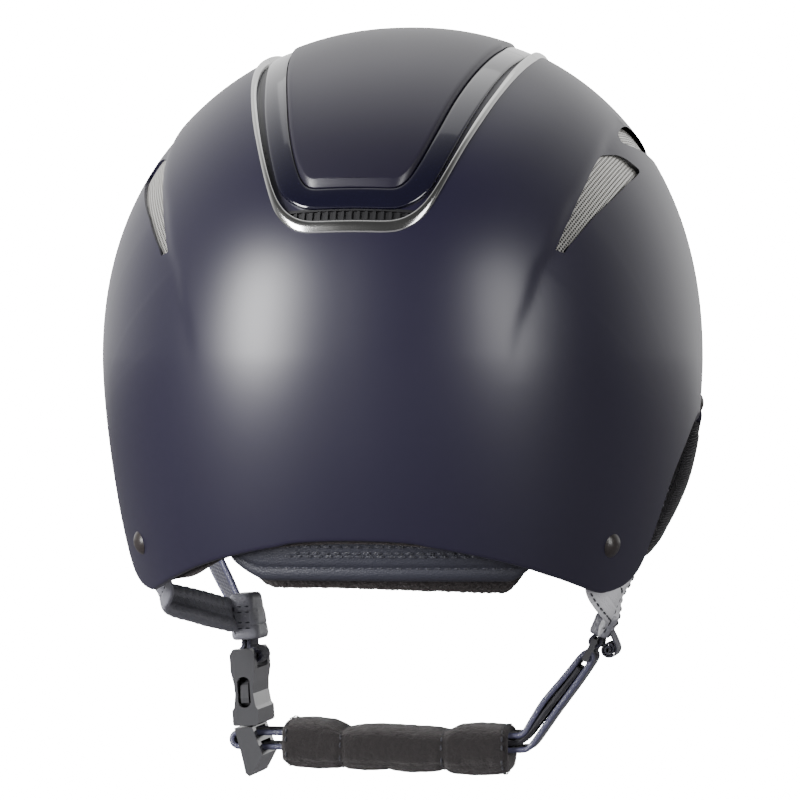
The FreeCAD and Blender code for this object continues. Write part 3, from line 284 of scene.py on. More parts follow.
def oval(centre, first, second, count):
    """Ring of points about centre with the two given radius vectors."""
    angles = np.linspace(0, FULL_TURN, count + 1)[:-1, None]
    return centre + np.cos(angles) * first + np.sin(angles) * second


def bent(value, power):
    """Power that keeps the sign, for squarish ovals."""
    return math.copysign(abs(value) ** power, value)


def stitches(parts, path, normals, length, pitch, radius, lift=0.12):
    """A row of raised thread stitches along a path on a surface."""
    path = np.asarray(path, float)
    lengths = run_lengths(path)
    place = pitch / 2
    while place < lengths[-1] - pitch / 2:
        centre = sample(path, lengths, place)
        out = unit(sample(normals, lengths, place))
        along = unit(sample(path, lengths, place + length / 2)
                     - sample(path, lengths, place - length / 2))
        across = np.cross(along, out)
        rings = []
        for u in (-1.0, -0.82, -0.4, 0.0, 0.4, 0.82, 1.0):
            thick = radius * math.sqrt(max(1 - abs(u) ** 2.6, 0.02))
            middle = (centre + along * u * length / 2
                      + out * (lift + radius * 0.25 * (1 - u * u) - 0.12))
            rings.append(oval(middle, across * thick, out * thick, 6))
        parts.tube(rings)
        place += pitch


# ---------------------------------------------------------------- materials
BLACK, WHITE = (0, 0, 0), (1, 1, 1)


class Look:
    """A material under construction: a principled shader fed by procedural textures."""

    def __init__(self, name):
        self.material = bpy.data.materials.new(name)
        self.material.use_nodes = True
        self.tree = self.material.node_tree
        self.tree.nodes.clear()
        output = self.node("ShaderNodeOutputMaterial")
        self.shader = self.node("ShaderNodeBsdfPrincipled")
        self.tree.links.new(self.shader.outputs[0], output.inputs[0])

    def node(self, kind):
        return self.tree.nodes.new(kind)

    def set(self, values):
        for socket, value in values.items():
            self.shader.inputs[socket].default_value = value

    def feed(self, source, socket):
        self.tree.links.new(source, self.shader.inputs[socket])

    def texture(self, kind, scale, **settings):
        """Texture in object space; its first output."""
        coords = self.tree.nodes.get("TC") or self.node("ShaderNodeTexCoord")
        coords.name = "TC"
        texture = self.node("ShaderNodeTex" + kind)
        texture.inputs["Scale"].default_value = scale
        for key, value in settings.items():
            if key in texture.inputs:
                texture.inputs[key].default_value = value
            else:
                setattr(texture, key, value)
        self.tree.links.new(coords.outputs["Object"], texture.inputs["Vector"])
        return texture.outputs["Fac" if kind == "Wave" else 0]

    def ramp(self, source, low=0.0, high=1.0, colours=(BLACK, WHITE)):
        ramp = self.node("ShaderNodeValToRGB")
        ends = ramp.color_ramp.elements
        ends[0].position = low
        ends[1].position = high
        for end, colour in zip(ends, colours):
            end.color = tuple(colour) + (1,)
        self.tree.links.new(source, ramp.inputs[0])
        return ramp.outputs[0]

    def mottle(self, source, colour, dark, light):
        """Base colour varying between two multiples of a colour."""
        shades = [tuple(x * factor for x in colour) for factor in (dark, light)]
        self.feed(self.ramp(source, colours=shades), "Base Color")

    def roughness(self, source, low, high):
        spread = self.node("ShaderNodeMapRange")
        spread.inputs["To Min"].default_value = low
        spread.inputs["To Max"].default_value = high
        self.tree.links.new(source, spread.inputs[0])
        self.feed(spread.outputs[0], "Roughness")

    def bump(self, source, strength, distance, under=None):
        """Relief, laid over another relief when one is given."""
        bump = self.node("ShaderNodeBump")
        bump.inputs["Strength"].default_value = strength
        bump.inputs["Distance"].default_value = distance
        self.tree.links.new(source, bump.inputs["Height"])
        if under is not None:
            self.tree.links.new(under.outputs[0], bump.inputs["Normal"])
        self.feed(bump.outputs[0], "Normal")
        return bump


def paint(name, colour, roughness, grain, relief, coat=0.0, specular=0.5):
    look = Look(name)
    if relief:
        fine = look.texture("Noise", grain, Detail=2.0)
    broad = look.texture("Noise", 14, Detail=3.0)
    look.mottle(broad, colour, dark=0.93, light=1.07)
    look.roughness(broad, roughness - 0.03, roughness + 0.03)
    look.set({"Coat Weight": coat, "Coat Roughness": 0.06, "Specular IOR Level": specular})
    if relief:
        look.bump(fine, strength=relief, distance=0.0001)
    return look.material


def chrome(name):
    look = Look(name)
    cloud = look.texture("Noise", 60, Detail=3.0)
    look.feed(look.ramp(cloud, colours=((0.52, 0.52, 0.51), (0.62, 0.62, 0.61))), "Base Color")
    look.set({"Metallic": 1.0})
    look.roughness(cloud, 0.12, 0.22)
    return look.material


def metal(name, colour, roughness):
    look = Look(name)
    grain = look.texture("Noise", 500, Detail=2.0)
    look.mottle(grain, colour, dark=0.85, light=1.1)
    look.set({"Metallic": 0.85, "Roughness": roughness})
    look.bump(grain, strength=0.1, distance=0.0001)
    return look.material


def foam(name):
    look = Look(name)
    beads = look.texture("Voronoi", 330)
    look.feed(look.ramp(beads, 0.0, 0.8, ((0.018, 0.018, 0.02), (0.008, 0.008, 0.009))),
              "Base Color")
    look.set({"Roughness": 0.8})
    look.bump(beads, strength=-0.6, distance=0.0006)
    return look.material


def leather(name, colour, roughness):
    look = Look(name)
    cells = look.texture("Voronoi", 1100, feature="DISTANCE_TO_EDGE")
    cloud = look.texture("Noise", 60, Detail=4.0)
    look.mottle(cloud, colour, dark=0.8, light=1.2)
    look.set({"Roughness": roughness})
    creases = look.ramp(cells, 0.0, 0.25)
    waves = look.bump(cloud, strength=0.35, distance=0.0006)
    look.bump(creases, strength=0.35, distance=0.00025, under=waves)
    return look.material


def fleece(name, dark, light):
    look = Look(name)
    fibres = look.texture("Noise", 900, Detail=6.0, Roughness=0.75)
    tufts = look.texture("Noise", 160, Detail=5.0)
    look.feed(look.ramp(fibres, 0.35, 0.68, (dark, light)), "Base Color")
    look.set({"Roughness": 0.95, "Sheen Weight": 0.22, "Sheen Roughness": 0.5,
              "Sheen Tint": (0.8, 0.75, 0.75, 1)})
    pile = look.bump(tufts, strength=0.7, distance=0.0009)
    look.bump(fibres, strength=1.0, distance=0.0008, under=pile)
    return look.material


def weave(name, colour, fineness):
    look = Look(name)
    weft = look.texture("Wave", fineness / 6.2, bands_direction="Y", Distortion=0.6)
    warp = look.texture("Wave", fineness / 7.5, bands_direction="DIAGONAL", Distortion=0.6)
    cross = look.node("ShaderNodeMath")
    cross.operation = "MULTIPLY"
    look.tree.links.new(weft, cross.inputs[0])
    look.tree.links.new(warp, cross.inputs[1])
    cloud = look.texture("Noise", 300, Detail=4.0)
    look.mottle(cross.outputs[0], colour, dark=0.55, light=1.35)
    look.set({"Roughness": 0.72, "Sheen Weight": 0.2})
    threads = look.bump(cross.outputs[0], strength=0.7, distance=0.0005)
    look.bump(cloud, strength=0.2, distance=0.0003, under=threads)
    return look.material


SHELL_PAINT = paint("matt_navy", (0.0072, 0.0056, 0.0180), roughness=0.37, grain=1400,
                    relief=0.03, specular=0.55)
PANEL_PAINT = paint("matt_navy_panel", (0.0078, 0.0062, 0.0150), roughness=0.38, grain=1400,
                    relief=0.04)
GLOSS = paint("gloss_navy", (0.004, 0.0036, 0.011), roughness=0.14, grain=900, relief=0.0,
              coat=0.8)
CHROME = chrome("bright_trim")
SILVER = metal("silver_mesh", (0.62, 0.61, 0.58), roughness=0.32)
BLACK_PLASTIC = paint("black_plastic", (0.004, 0.004, 0.005), roughness=0.5, grain=700,
                      relief=0.1)
RIVET = paint("dark_rivet", (0.020, 0.016, 0.015), roughness=0.33, grain=500, relief=0.05)
FOAM = foam("foam_beads")
LINING = weave("ribbed_lining", (0.008, 0.007, 0.009), fineness=1900)
FLEECE = fleece("brushed_fleece", (0.005, 0.0036, 0.0034), (0.022, 0.0155, 0.0145))
LEATHER = leather("grey_leatherette", (0.18, 0.18, 0.205), roughness=0.36)
# painted light: the same grey leatherette as LEATHER, made much lighter to stand for the light that
# the right-hand straps catch
LIT_LEATHER = leather("lit_grey_leatherette", (0.60, 0.60, 0.62), roughness=0.34)
NAPE_LEATHER = leather("nape_leatherette", (0.016, 0.0165, 0.026), roughness=0.58)
WEBBING = weave("navy_webbing", (0.020, 0.019, 0.040), fineness=2300)
PLY = weave("dark_webbing", (0.014, 0.013, 0.020), fineness=2300)
CHIN_FABRIC = fleece("chin_fabric", (0.0030, 0.0018, 0.0020), (0.009, 0.006, 0.0065))
PIPING = leather("navy_piping", (0.055, 0.055, 0.095), roughness=0.36)
THREAD = weave("thread", (0.014, 0.014, 0.024), fineness=4000)
GREY_THREAD = weave("grey_thread", (0.020, 0.021, 0.034), fineness=4000)
BUCKLE = paint("moulded_buckle", (0.045, 0.045, 0.048), roughness=0.20, grain=1200,
               relief=0.12)

# ---------------------------------------------------------------- outlines on the shell
WALL = 3.2
INSET_DROP = 2.0      # how far the floor of the crown inset is sunk
CREASE_DEPTH = 1.9

# y, z of the rim in side view, front to back
RIM = np.array([
    (-190, 50), (-150, 50), (-120, 50.5), (-90, 51.5), (-60, 54), (-33, 57), (-10, 59.5),
    (4, 58.6), (17, 54.3), (30, 46), (38, 38), (43, 29), (47.3, 17.6), (51, 8.6), (57, 3.6),
    (65, 1.2), (71, 1.5), (84.5, 6.1), (95, 10.3), (103.6, 14.0), (108.7, 16.6),
    (112.3, 18.9), (125, 24), (160, 36)], float)
RIM_CURVE = smooth_curve(RIM, 900)
RIM_CURVE = RIM_CURVE[np.argsort(RIM_CURVE[:, 0])]

# x, y, z of the upper and lower edges of each leaf-shaped vent, left side
VENTS = {
    "rear": (
        [(82.8, 36.3, 143), (80.8, 39.4, 144.8), (78.4, 44, 145.9), (76.3, 49.8, 145.8),
         (74.5, 54.8, 145.1), (73.7, 59.3, 143.2), (72.6, 65.9, 139.6), (71.3, 73.8, 134.1),
         (69.8, 80.5, 128.8), (68.2, 86.2, 123.5), (66.5, 90.9, 118.8), (65.2, 94.4, 114.6),
         (64.3, 96.3, 112.3)],
        [(84.4, 34, 141.3), (84.7, 35, 140.3), (84.5, 38, 139.4), (84.2, 41, 138.5),
         (83.6, 45.5, 137.2), (82.8, 49.7, 136), (80.4, 61.1, 131.7), (77.7, 70.2, 127.6),
         (74.9, 77.6, 123.8), (72.5, 83.6, 120), (70.3, 88.1, 116.6), (68.4, 91.6, 113.8),
         (67, 94.3, 111.2)]),
    "front": (
        [(78.3, 31.0, 151.4), (76.9, 28.0, 153.8), (76.6, 22, 155.4), (76.7, 16, 156.7),
         (77.2, 8, 157.4), (78.2, -2, 157.0), (79.6, -14, 155.6), (80.4, -24, 153.6),
         (80.6, -33, 151.2), (80.4, -40, 148.6)],
        [(79.0, 30.4, 150.8), (80.6, 25.5, 150.0), (81.6, 20.5, 149.2), (82.6, 15.0, 148.6),
         (83.4, 9.5, 147.8), (84.2, 1.5, 147.0), (84.7, -8.0, 146.6), (84.6, -19.0, 146.3),
         (83.8, -30.0, 146.2), (82.6, -38.0, 146.1)]),
}

# x, y, z down the left flank crease, from above the vents to the nape
CREASE = smooth_curve([
    (73.5, 14, 163.5), (73, 27, 158.9), (72.0, 42, 153.5), (70.8, 58, 145.8), (67.5, 75, 135),
    (65, 86, 128.5), (60.5, 98, 115), (57, 104, 108), (54, 109, 97), (51.3, 112, 89),
    (49.2, 113.6, 79.7), (48.0, 114.5, 70)], 160)

# Half outlines of the crown inset: x, y, z from the middle of the rear bar up the left leg.
# Easing is the length over which the corners are softened.
TRIM_OUTER = dict(easing=3.2, stations=[
    (0, 117.3, 117.1), (15.0, 117.2, 117.2), (18.6, 115.5, 118.1), (21.9, 114, 120),
    (24.8, 112, 123), (27.2, 108.4, 128), (31, 101.5, 137), (34, 94, 144.4), (37, 86, 151.7),
    (39.6, 77, 158), (43, 62, 166), (45.5, 47, 172), (47.2, 32, 177.3), (48.2, 14, 181)])
TRIM_INNER = dict(easing=3.2, stations=[
    (0, 115.6, 120.9), (15.0, 115.5, 121.0), (17.6, 114, 121.9), (20.4, 113, 123.0),
    (23.0, 111, 125.6), (25.5, 108, 129.4), (28.5, 103, 136), (32, 95, 144.4), (35.0, 86, 152),
    (37.4, 77.5, 158), (40.4, 65, 166), (42.8, 48, 173), (44.4, 32, 178.2), (45.4, 14, 181.9)])
BAND_OUTER = dict(easing=2.6, stations=[
    (0, 113.2, 125.6), (15.0, 113.1, 125.7), (18.2, 111.4, 126.6), (20.6, 110.6, 127.6),
    (22.8, 109.6, 129.3), (25.0, 107, 131.6), (27.6, 102.6, 138), (31.2, 93.5, 147),
    (34.3, 83, 155.6), (37.0, 71.5, 163), (39.9, 55, 170.2), (41.7, 43, 174.8),
    (43.4, 30, 178.8), (44.4, 14, 182)])
BAND_INNER = dict(easing=1.5, stations=[
    (0, 109, 132.1), (13.4, 109, 132.2), (15.4, 108.4, 132.9), (16.8, 107.6, 134),
    (18.0, 106.4, 135.6), (19.4, 104, 138), (22.0, 98.4, 143.6), (25.4, 88.4, 153),
    (28.1, 77.4, 161.8), (30.8, 64.6, 168.8), (33.2, 51.5, 175.2), (35.0, 39, 179.6),
    (36.3, 27, 183), (37.4, 12, 185.8)])
ENDS = (("rear", False), ("front", True))
FRONT_NARROWING = 0.94     # the front U is the rear one mirrored, a little narrower
FRONT_TURN = 0.10          # and turned back by this angle
ARC_SCALE = 105.0          # rough radius, so that angles are spaced like lengths
U_POINTS = 241


def rim_z(y):
    return np.interp(y, RIM_CURVE[:, 0], RIM_CURVE[:, 1])


def side_angle(y, z):
    return math.atan2(z - CENTRE[2], y - CENTRE[1])


def front_angle(phi):
    return math.pi - phi + FRONT_TURN


SEAM_ANGLE = side_angle(22.0, 182.0)     # where the front and rear Us meet


def u_stations(stations, front, inset):
    """Whole U as (x, phi), cut at the seam; inset is lists of x and phi steps inwards."""
    half = [(x, side_angle(y, z)) for x, y, z in stations]
    if inset:
        half = [(max(x - narrower, 0.0), phi + turn)
                for (x, phi), narrower, turn in zip(half, *inset)]
    kept = [half[0]]
    for (x0, phi0), (x1, phi1) in zip(half, half[1:]):
        if phi1 < SEAM_ANGLE:
            kept.append((x1, phi1))
        else:
            share = (SEAM_ANGLE - phi0) / (phi1 - phi0)
            kept.append((x0 + (x1 - x0) * share, SEAM_ANGLE))
            break
    if front:
        end = kept[-1][0]
        kept = [(x * FRONT_NARROWING, front_angle(phi)) for x, phi in kept[:-1]]
        kept += [(end * 0.985, SEAM_ANGLE + 0.22), (end, SEAM_ANGLE + 0.0015)]
    return np.array([(-x, phi) for x, phi in reversed(kept[1:])] + kept, float)


def u_path(outline, count, front=False, inset=None):
    """Evenly spaced (x, phi) points along a U outline, its corners eased."""
    curve = u_stations(outline["stations"], front, inset)
    curve[:, 1] *= ARC_SCALE
    curve = resample(smooth_curve(curve, 1200), 1201)
    sigma = outline["easing"] / np.linalg.norm(curve[1] - curve[0])
    taps = np.arange(-int(4 * sigma), int(4 * sigma) + 1)
    weights = np.exp(-0.5 * (taps / sigma) ** 2)
    weights /= weights.sum()
    pad = len(taps) // 2
    padded = np.vstack([2 * curve[0] - curve[pad:0:-1], curve,
                        2 * curve[-1] - curve[-2:-pad - 2:-1]])
    curve = np.stack([np.convolve(column, weights, "valid") for column in padded.T], -1)
    curve = resample(curve, count)
    curve[:, 1] /= ARC_SCALE
    return curve


# ---------------------------------------------------------------- outer shell
def crease_drop(points):
    """Depth the form sinks on the outer side of each flank crease."""
    flat = points.reshape(-1, 3).copy()
    flat[:, 0] = np.abs(flat[:, 0])
    drop = np.zeros(len(flat))
    near = np.where((np.abs(flat[:, 1] - 65) < 95) & (flat[:, 0] > 30) & (flat[:, 2] > 55))[0]
    course = tangents(CREASE)
    share = np.linspace(0, 1, len(CREASE))
    depth = (CREASE_DEPTH * np.clip(share / 0.22, 0, 1) ** 0.7
             * np.clip((1 - share) / 0.62, 0, 1) ** 1.15)
    batch = 20000      # keeps the table of distances small
    for start in range(0, len(near), batch):
        chosen = near[start:start + batch]
        offsets = flat[chosen][:, None, :] - CREASE[None]
        nearest = np.argmin((offsets ** 2).sum(-1), 1)
        offset = offsets[np.arange(len(chosen)), nearest]
        across = unit(np.cross(normal(flat[chosen]), course[nearest]))
        distance = np.sum(offset * across, -1)
        overshoot = np.abs(np.sum(offset * course[nearest], -1))
        # count distances positive away from the symmetry plane
        distance = np.where(across[:, 0] - 0.4 * across[:, 2] < 0, -distance, distance)
        step = (0.8 / (1 + np.exp(-(distance - 3.0) / 1.1))
                * np.exp(-np.clip(distance - 5.0, 0, None) / 14.0))
        at_end = (nearest == 0) | (nearest == len(CREASE) - 1)
        step = np.where(at_end, step * np.exp(-overshoot / 6.0), step)
        drop[chosen] = step * depth[nearest]
    return drop.reshape(points.shape[:-1])


def inset_drop(points):
    """Sink of the crown inset's floor; the step hides under the bright trim."""
    halves = []
    for _, front in ENDS:
        middle = (u_path(TRIM_OUTER, 801, front) + u_path(TRIM_INNER, 801, front)) / 2
        halves.append(middle[middle[:, 0] > 0])
    line = np.vstack(halves)
    line = line[np.argsort(line[:, 1])]
    phi = np.arctan2(points[..., 2] - CENTRE[2], points[..., 1] - CENTRE[1])
    width = np.interp(phi, line[:, 1], line[:, 0], left=0, right=0)
    width = np.where((phi > line[0, 1]) & (phi < line[-1, 1]), np.maximum(width, 14.0), 0)
    inside = (np.abs(points[..., 0]) < width) & (points[..., 2] > 80)
    return np.where(inside, INSET_DROP, 0.0)


def rim_points(theta):
    """Points on the rim at each plan angle, by bisection on height."""
    low, high = np.full(len(theta), -2.0), np.full(len(theta), 70.0)
    for _ in range(40):
        middle = (low + high) / 2
        above = middle > rim_z(polar(theta, middle)[:, 1])
        high = np.where(above, middle, high)
        low = np.where(above, low, middle)
    return polar(theta, high)


def whole_shell():
    """Two skins joined by a rolled rim and closed at the crown."""
    around, up_rows = ((900, 250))
    rim_rays = unit(rim_points(np.linspace(0, FULL_TURN, around + 1)[:-1]) - CENTRE)
    top_ray = np.array([0, -0.12, 1.0])
    top_ray = top_ray / np.linalg.norm(top_ray)
    sweep = np.arccos(np.clip((rim_rays * top_ray).sum(-1), -1, 1))
    rows = []
    for k in np.linspace(0, 1, up_rows)[:-1]:
        rays = (np.sin((1 - k) * sweep)[:, None] * rim_rays
                + np.sin(k * sweep)[:, None] * top_ray) / np.sin(sweep)[:, None]
        rows.append(cast(CENTRE, rays))
    skin = np.stack(rows)
    top = cast(CENTRE, top_ray)
    normals = normal(skin)
    drop = crease_drop(skin) + inset_drop(skin)
    outer = skin - normals * drop[..., None]
    inner = skin - normals * np.maximum(WALL, drop + 0.8)[..., None]
    down = unit(skin[0] - skin[1])
    radius = WALL / 2
    roll = []
    for quarter in (0.25, 0.5, 0.75, 1.0, 1.25, 1.5, 1.75):
        angle = quarter * math.pi / 2
        roll.append(skin[0] - normals[0] * radius
                    + (normals[0] * math.cos(angle) + down * math.sin(angle) * 0.55) * radius)
    inner_rows = list(range(0, len(inner), 3))
    if inner_rows[-1] != len(inner) - 1:
        inner_rows.append(len(inner) - 1)
    stack = np.stack([inner[k] for k in reversed(inner_rows)] + roll[::-1] + list(outer))
    last = (len(stack) - 1) * around
    verts = stack.reshape(-1, 3)
    faces = grid_faces(len(stack), around, wrap=True)
    outer_tip, inner_tip = len(verts), len(verts) + 1
    verts = np.vstack([verts, top - np.array([0, 0, INSET_DROP]), top - np.array([0, 0, WALL])])
    for j in range(around):
        faces.append((last + j, last + (j + 1) % around, outer_tip))
        faces.append(((j + 1) % around, j, inner_tip))
    return make("shell", verts, faces, SHELL_PAINT, "shell")


def leaf_grid(upper, lower, side, lift):
    """Grid across a vent, held off the surface by lift."""
    upper, lower = (resample(smooth_curve(edge, 200), 60) for edge in (upper, lower))
    share = np.linspace(0, 1, 5)[:, None, None]
    grid = upper[None] * (1 - share) + lower[None] * share
    grid[..., 0] *= side
    return snap(grid, lift)


def outer_shell():
    """The shell with its four vents cut through."""
    shell = whole_shell()
    plugs = Parts()
    for side in (1, -1):
        for edges in VENTS.values():
            plugs.slab(leaf_grid(*edges, side, 6.0), leaf_grid(*edges, side, -9.0))
    cutter = plugs.build("cutter", None, None, None, smooth=False)
    cut = shell.modifiers.new("b", "BOOLEAN")
    cut.operation = "DIFFERENCE"
    # the quick solver goes by either name, depending on the Blender version
    solvers = [item.identifier for item in cut.bl_rna.properties["solver"].enum_items]
    cut.solver = "FLOAT" if "FLOAT" in solvers else "FAST"
    cut.object = cutter
    bpy.context.view_layer.update()
    depsgraph = bpy.context.evaluated_depsgraph_get()
    mesh = bpy.data.meshes.new_from_object(shell.evaluated_get(depsgraph))
    shell.modifiers.clear()
    shell.data = mesh
    bpy.data.objects.remove(cutter)
    set_smooth(mesh, 38)
    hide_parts("outer_shell")


# ---------------------------------------------------------------- crown inset
# Cross-sections as (share of the way from outer to inner edge, rise above the form)
TRIM_PROFILE = [(0.0, -2.0), (0.0, 0.20), (0.05, 0.42), (0.14, 0.56), (0.34, 0.86), (0.5, 0.95),
                (0.72, 0.96), (0.9, 0.84), (0.97, 0.62), (1.0, 0.35), (1.0, -2.0)]
BAND_PROFILE = [(0.0, -2.0), (0.0, -1.1), (0.02, -0.82), (0.06, -0.66), (0.14, -0.60),
                (0.5, -0.62), (0.85, -0.72), (0.95, -0.80), (0.985, -0.95), (0.99, -1.3),
                (0.99, -2.0)]
PANEL_PROFILE = [(0, -2.0), (0, -0.95), (0.06, -0.78), (0.5, -0.22), (0.9, 0.26), (1.0, 0.34)]
# Steps in from the band's inner edge at each station: x, then phi
LEG_STATIONS = len(BAND_INNER["stations"]) - 6
PANEL_FOOT = ([0.30] * (LEG_STATIONS + 6),
              [0.0022] * 4 + [0.0015, 0.001] + [0] * LEG_STATIONS)
PANEL_TOP = ([0.2, 0.6, 0.9, 1.2, 1.35, 1.3] + [1.15] * LEG_STATIONS,
             [0.021, 0.021, 0.019, 0.015, 0.010, 0.006] + [0.001] * LEG_STATIONS)
PANEL_COLUMNS = 41
PANEL_CROWNING = 0.25
MIN_ROW_WIDTH = 3.0


def profile_lines(outer, inner, profile):
    """One line of surface points for each point of the profile."""
    lines = []
    for share, rise in profile:
        line = outer * (1 - share) + inner * share
        lines.append(fan(line[:, 0], line[:, 1], rise))
    return lines


def crown_strips():
    """Bright trim and gloss band, in a rear and a front U."""
    for key, front in ENDS:
        for name, outer, inner, profile, material, slot, node in (
                ("trim_", TRIM_OUTER, TRIM_INNER, TRIM_PROFILE, CHROME, "trim",
                 "chrome_trim_"),
                ("gloss_band_", BAND_OUTER, BAND_INNER, BAND_PROFILE, GLOSS, "gloss_band",
                 "panel_band_")):
            lines = profile_lines(u_path(outer, U_POINTS, front),
                                  u_path(inner, U_POINTS, front), profile)
            Parts().tube(np.stack(lines, 1)).build(name + key, material, slot,
                                                   node=node + key, angle=42)


def panel_outline(inset):
    """Closed outline: the rear U, then the front U reversed."""
    rear, front = (u_path(BAND_INNER, U_POINTS, is_front, inset) for _, is_front in ENDS)
    return np.vstack([rear, front[::-1]])


def centre_panel():
    """Panel with a chamfer all round, filled by rows across from leg to leg."""
    foot, top = panel_outline(PANEL_FOOT), panel_outline(PANEL_TOP)
    around = len(foot)
    lines = profile_lines(foot, top, PANEL_PROFILE)
    verts = [point for line in lines for point in line]
    faces = grid_faces(len(lines), around, wrap=True)
    start = (len(lines) - 1) * around
    half = U_POINTS // 2
    pairs = [(k, U_POINTS - 1 - k) for k in reversed(range(half))]
    pairs += [(2 * U_POINTS - 1 - k, U_POINTS + k) for k in range(half)]
    share = np.linspace(0, 1, PANEL_COLUMNS)[1:-1]
    rise = PANEL_PROFILE[-1][1] + PANEL_CROWNING * (1 - (2 * share - 1) ** 2)
    rows = []
    for i, j in pairs:
        if abs(top[i][0] - top[j][0]) < MIN_ROW_WIDTH:
            continue
        line = top[i][None] * (1 - share[:, None]) + top[j][None] * share[:, None]
        first = len(verts)
        verts.extend(fan(line[:, 0], line[:, 1], rise))
        rows.append([start + i] + list(range(first, len(verts))) + [start + j])
    for row, after in zip(rows, rows[1:]):
        for j in range(PANEL_COLUMNS - 1):
            faces.append((row[j], row[j + 1], after[j + 1], after[j]))
    # slivers between the end rows and the two bars
    for row in (rows[0], rows[-1][::-1]):
        faces.append(tuple(row + list(range(row[-1] - 1, row[0], -1))))
    faces.append(tuple(range(around)))
    make("centre_panel", verts, faces, PANEL_PAINT, "shell", node="crown_panel", angle=50)


def outlet_grilles():
    """Dark grilles in the gap between trim and band, at the back and the front."""
    for key, front in ENDS:
        low, high = side_angle(115.4, 120.6), side_angle(113.4, 126.4)
        scale = 1.0
        if front:
            low, high, scale = front_angle(low), front_angle(high), FRONT_NARROWING
        parts = Parts()

        def plate(x, phi, top, bottom):
            parts.slab(fan(x[None, :], phi[:, None], top), fan(x[None, :], phi[:, None], bottom))

        wide = np.linspace(-21.5 * scale, 21.5 * scale, 61)
        height = high - low
        plate(wide, np.linspace(low, high, 4), -1.75, -2.2)
        for i in range(15):
            x = (-18.2 + 2.6 * i) * scale
            plate(np.linspace(x - 0.5, x + 0.5, 3),
                  np.linspace(low + height * 0.12, low + height * 0.72, 4), -1.05, -1.9)
        for share in (0.10, 0.74):
            plate(wide, low + height * np.linspace(share, share + 0.1, 3), -0.95, -1.9)
        parts.build("outlet_grille_" + key, BLACK_PLASTIC, "black_plastic",
                    node=key + "_vent_grille", angle=30)


# ---------------------------------------------------------------- perforated side vents
HOLE_PITCH = 1.16
HOLE_REACH = 0.39 * 1.12      # corner radius of the eight-sided holes
SHEET_OVERLAP = 0.9           # the sheet runs this far past the opening
SHEET_TOP, SHEET_BOTTOM = -1.8, -2.3
CELL_CORNERS = [(-1, -1), (0, -1), (1, -1), (1, 0), (1, 1), (0, 1), (-1, 1), (-1, 0)]


def inside(polygon, x, y):
    within = False
    before = polygon[-1]
    for here in polygon:
        if (here[1] > y) != (before[1] > y) and x < (
                (before[0] - here[0]) * (y - here[1]) / (before[1] - here[1]) + here[0]):
            within = not within
        before = here
    return within


def grown(polygon, axis_start, axis_end):
    """The polygon pushed out by the overlap, away from its long axis."""
    mean_x = np.mean([x for x, _ in polygon])
    result = []
    for k, (x, y) in enumerate(polygon):
        edge = polygon[(k + 1) % len(polygon)] - polygon[k - 1]
        edge = edge / (np.linalg.norm(edge) + 1e-9)
        out = np.array([edge[1], -edge[0]])
        axis_y = np.interp(x, [axis_start[0], axis_end[0]], [axis_start[1], axis_end[1]])
        if out @ np.array([x - mean_x, y - axis_y]) < 0:
            out = -out
        result.append((x + out[0] * SHEET_OVERLAP, y + out[1] * SHEET_OVERLAP))
    return result


def vent_mesh(key):
    """Sheet of square cells, each with a hole, laid in the vents of both sides."""
    upper, lower = (resample(smooth_curve(edge, 200), 60) for edge in VENTS[key])
    centre = (upper.mean(0) + lower.mean(0)) / 2
    out = normal(snap(centre))
    along = unit((upper[-1] + lower[-1]) / 2 - (upper[3] + lower[3]) / 2)
    along = unit(along - out * along.dot(out))
    across = np.cross(out, along)
    polygon = np.array([((point - centre) @ along, (point - centre) @ across)
                        for point in np.vstack([upper, lower[::-1]])])
    edge = grown(polygon, polygon[0], polygon[59])
    low_x, high_x = min(x for x, _ in edge), max(x for x, _ in edge)
    low_y, high_y = min(y for _, y in edge), max(y for _, y in edge)
    flat, cells = [], []
    for x in np.arange(low_x, high_x + HOLE_PITCH, HOLE_PITCH):
        y = low_y
        while y < high_y + HOLE_PITCH:
            if inside(edge, x, y):
                first = len(flat)
                for i, j in CELL_CORNERS:
                    flat.append((x + i * HOLE_PITCH / 2, y + j * HOLE_PITCH / 2))
                for i, j in CELL_CORNERS:
                    reach = HOLE_REACH / math.hypot(i, j)
                    flat.append((x + i * reach, y + j * reach))
                for k in range(8):
                    after = (k + 1) % 8
                    cells.append((first + k, first + after, first + 8 + after, first + 8 + k))
            y += HOLE_PITCH
    flat = np.array(flat)
    below = len(flat)
    faces = cells + [tuple(below + i for i in reversed(cell)) for cell in cells]
    faces += [(cell[3], cell[2], below + cell[2], below + cell[3]) for cell in cells]
    parts = Parts()
    for side in (1, -1):
        sheet = centre + along * flat[:, :1] + across * flat[:, 1:]
        sheet[:, 0] *= side
        parts.add(np.vstack([snap(sheet, SHEET_TOP), snap(sheet, SHEET_BOTTOM)]), faces)
    parts.build("vent_mesh_" + key, SILVER, "mesh", node="side_vent_mesh_" + key, angle=35,
                weld=2e-5)


# ---------------------------------------------------------------- carried CAD nodes
# node, material, bevel width
CARRIED = [
    ("eps_liner", FOAM, None), ("rear_rivets", RIVET, None), ("front_rivets", RIVET, None),
    ("rivet_washers", BLACK_PLASTIC, None), ("buckle_female", BUCKLE, 0.35),
    ("buckle_male", BUCKLE, 0.55), ("buckle_prong_front", BUCKLE, None),
    ("buckle_prong_rear", BUCKLE, None), ("chin_ring", BUCKLE, 0.3)]


def dress_carried():
    for node, material, width in CARRIED:
        obj = frame["nodes"][node]
        obj.data.materials.clear()
        obj.data.materials.append(material)
        set_smooth(obj.data)
        if width:
            bevel = obj.modifiers.new("edge", "BEVEL")
            bevel.width = width * MM
            bevel.segments = 2
            bevel.limit_method = "ANGLE"
            bevel.angle_limit = math.radians(32)
            bevel.use_clamp_overlap = True
            bevel.harden_normals = True


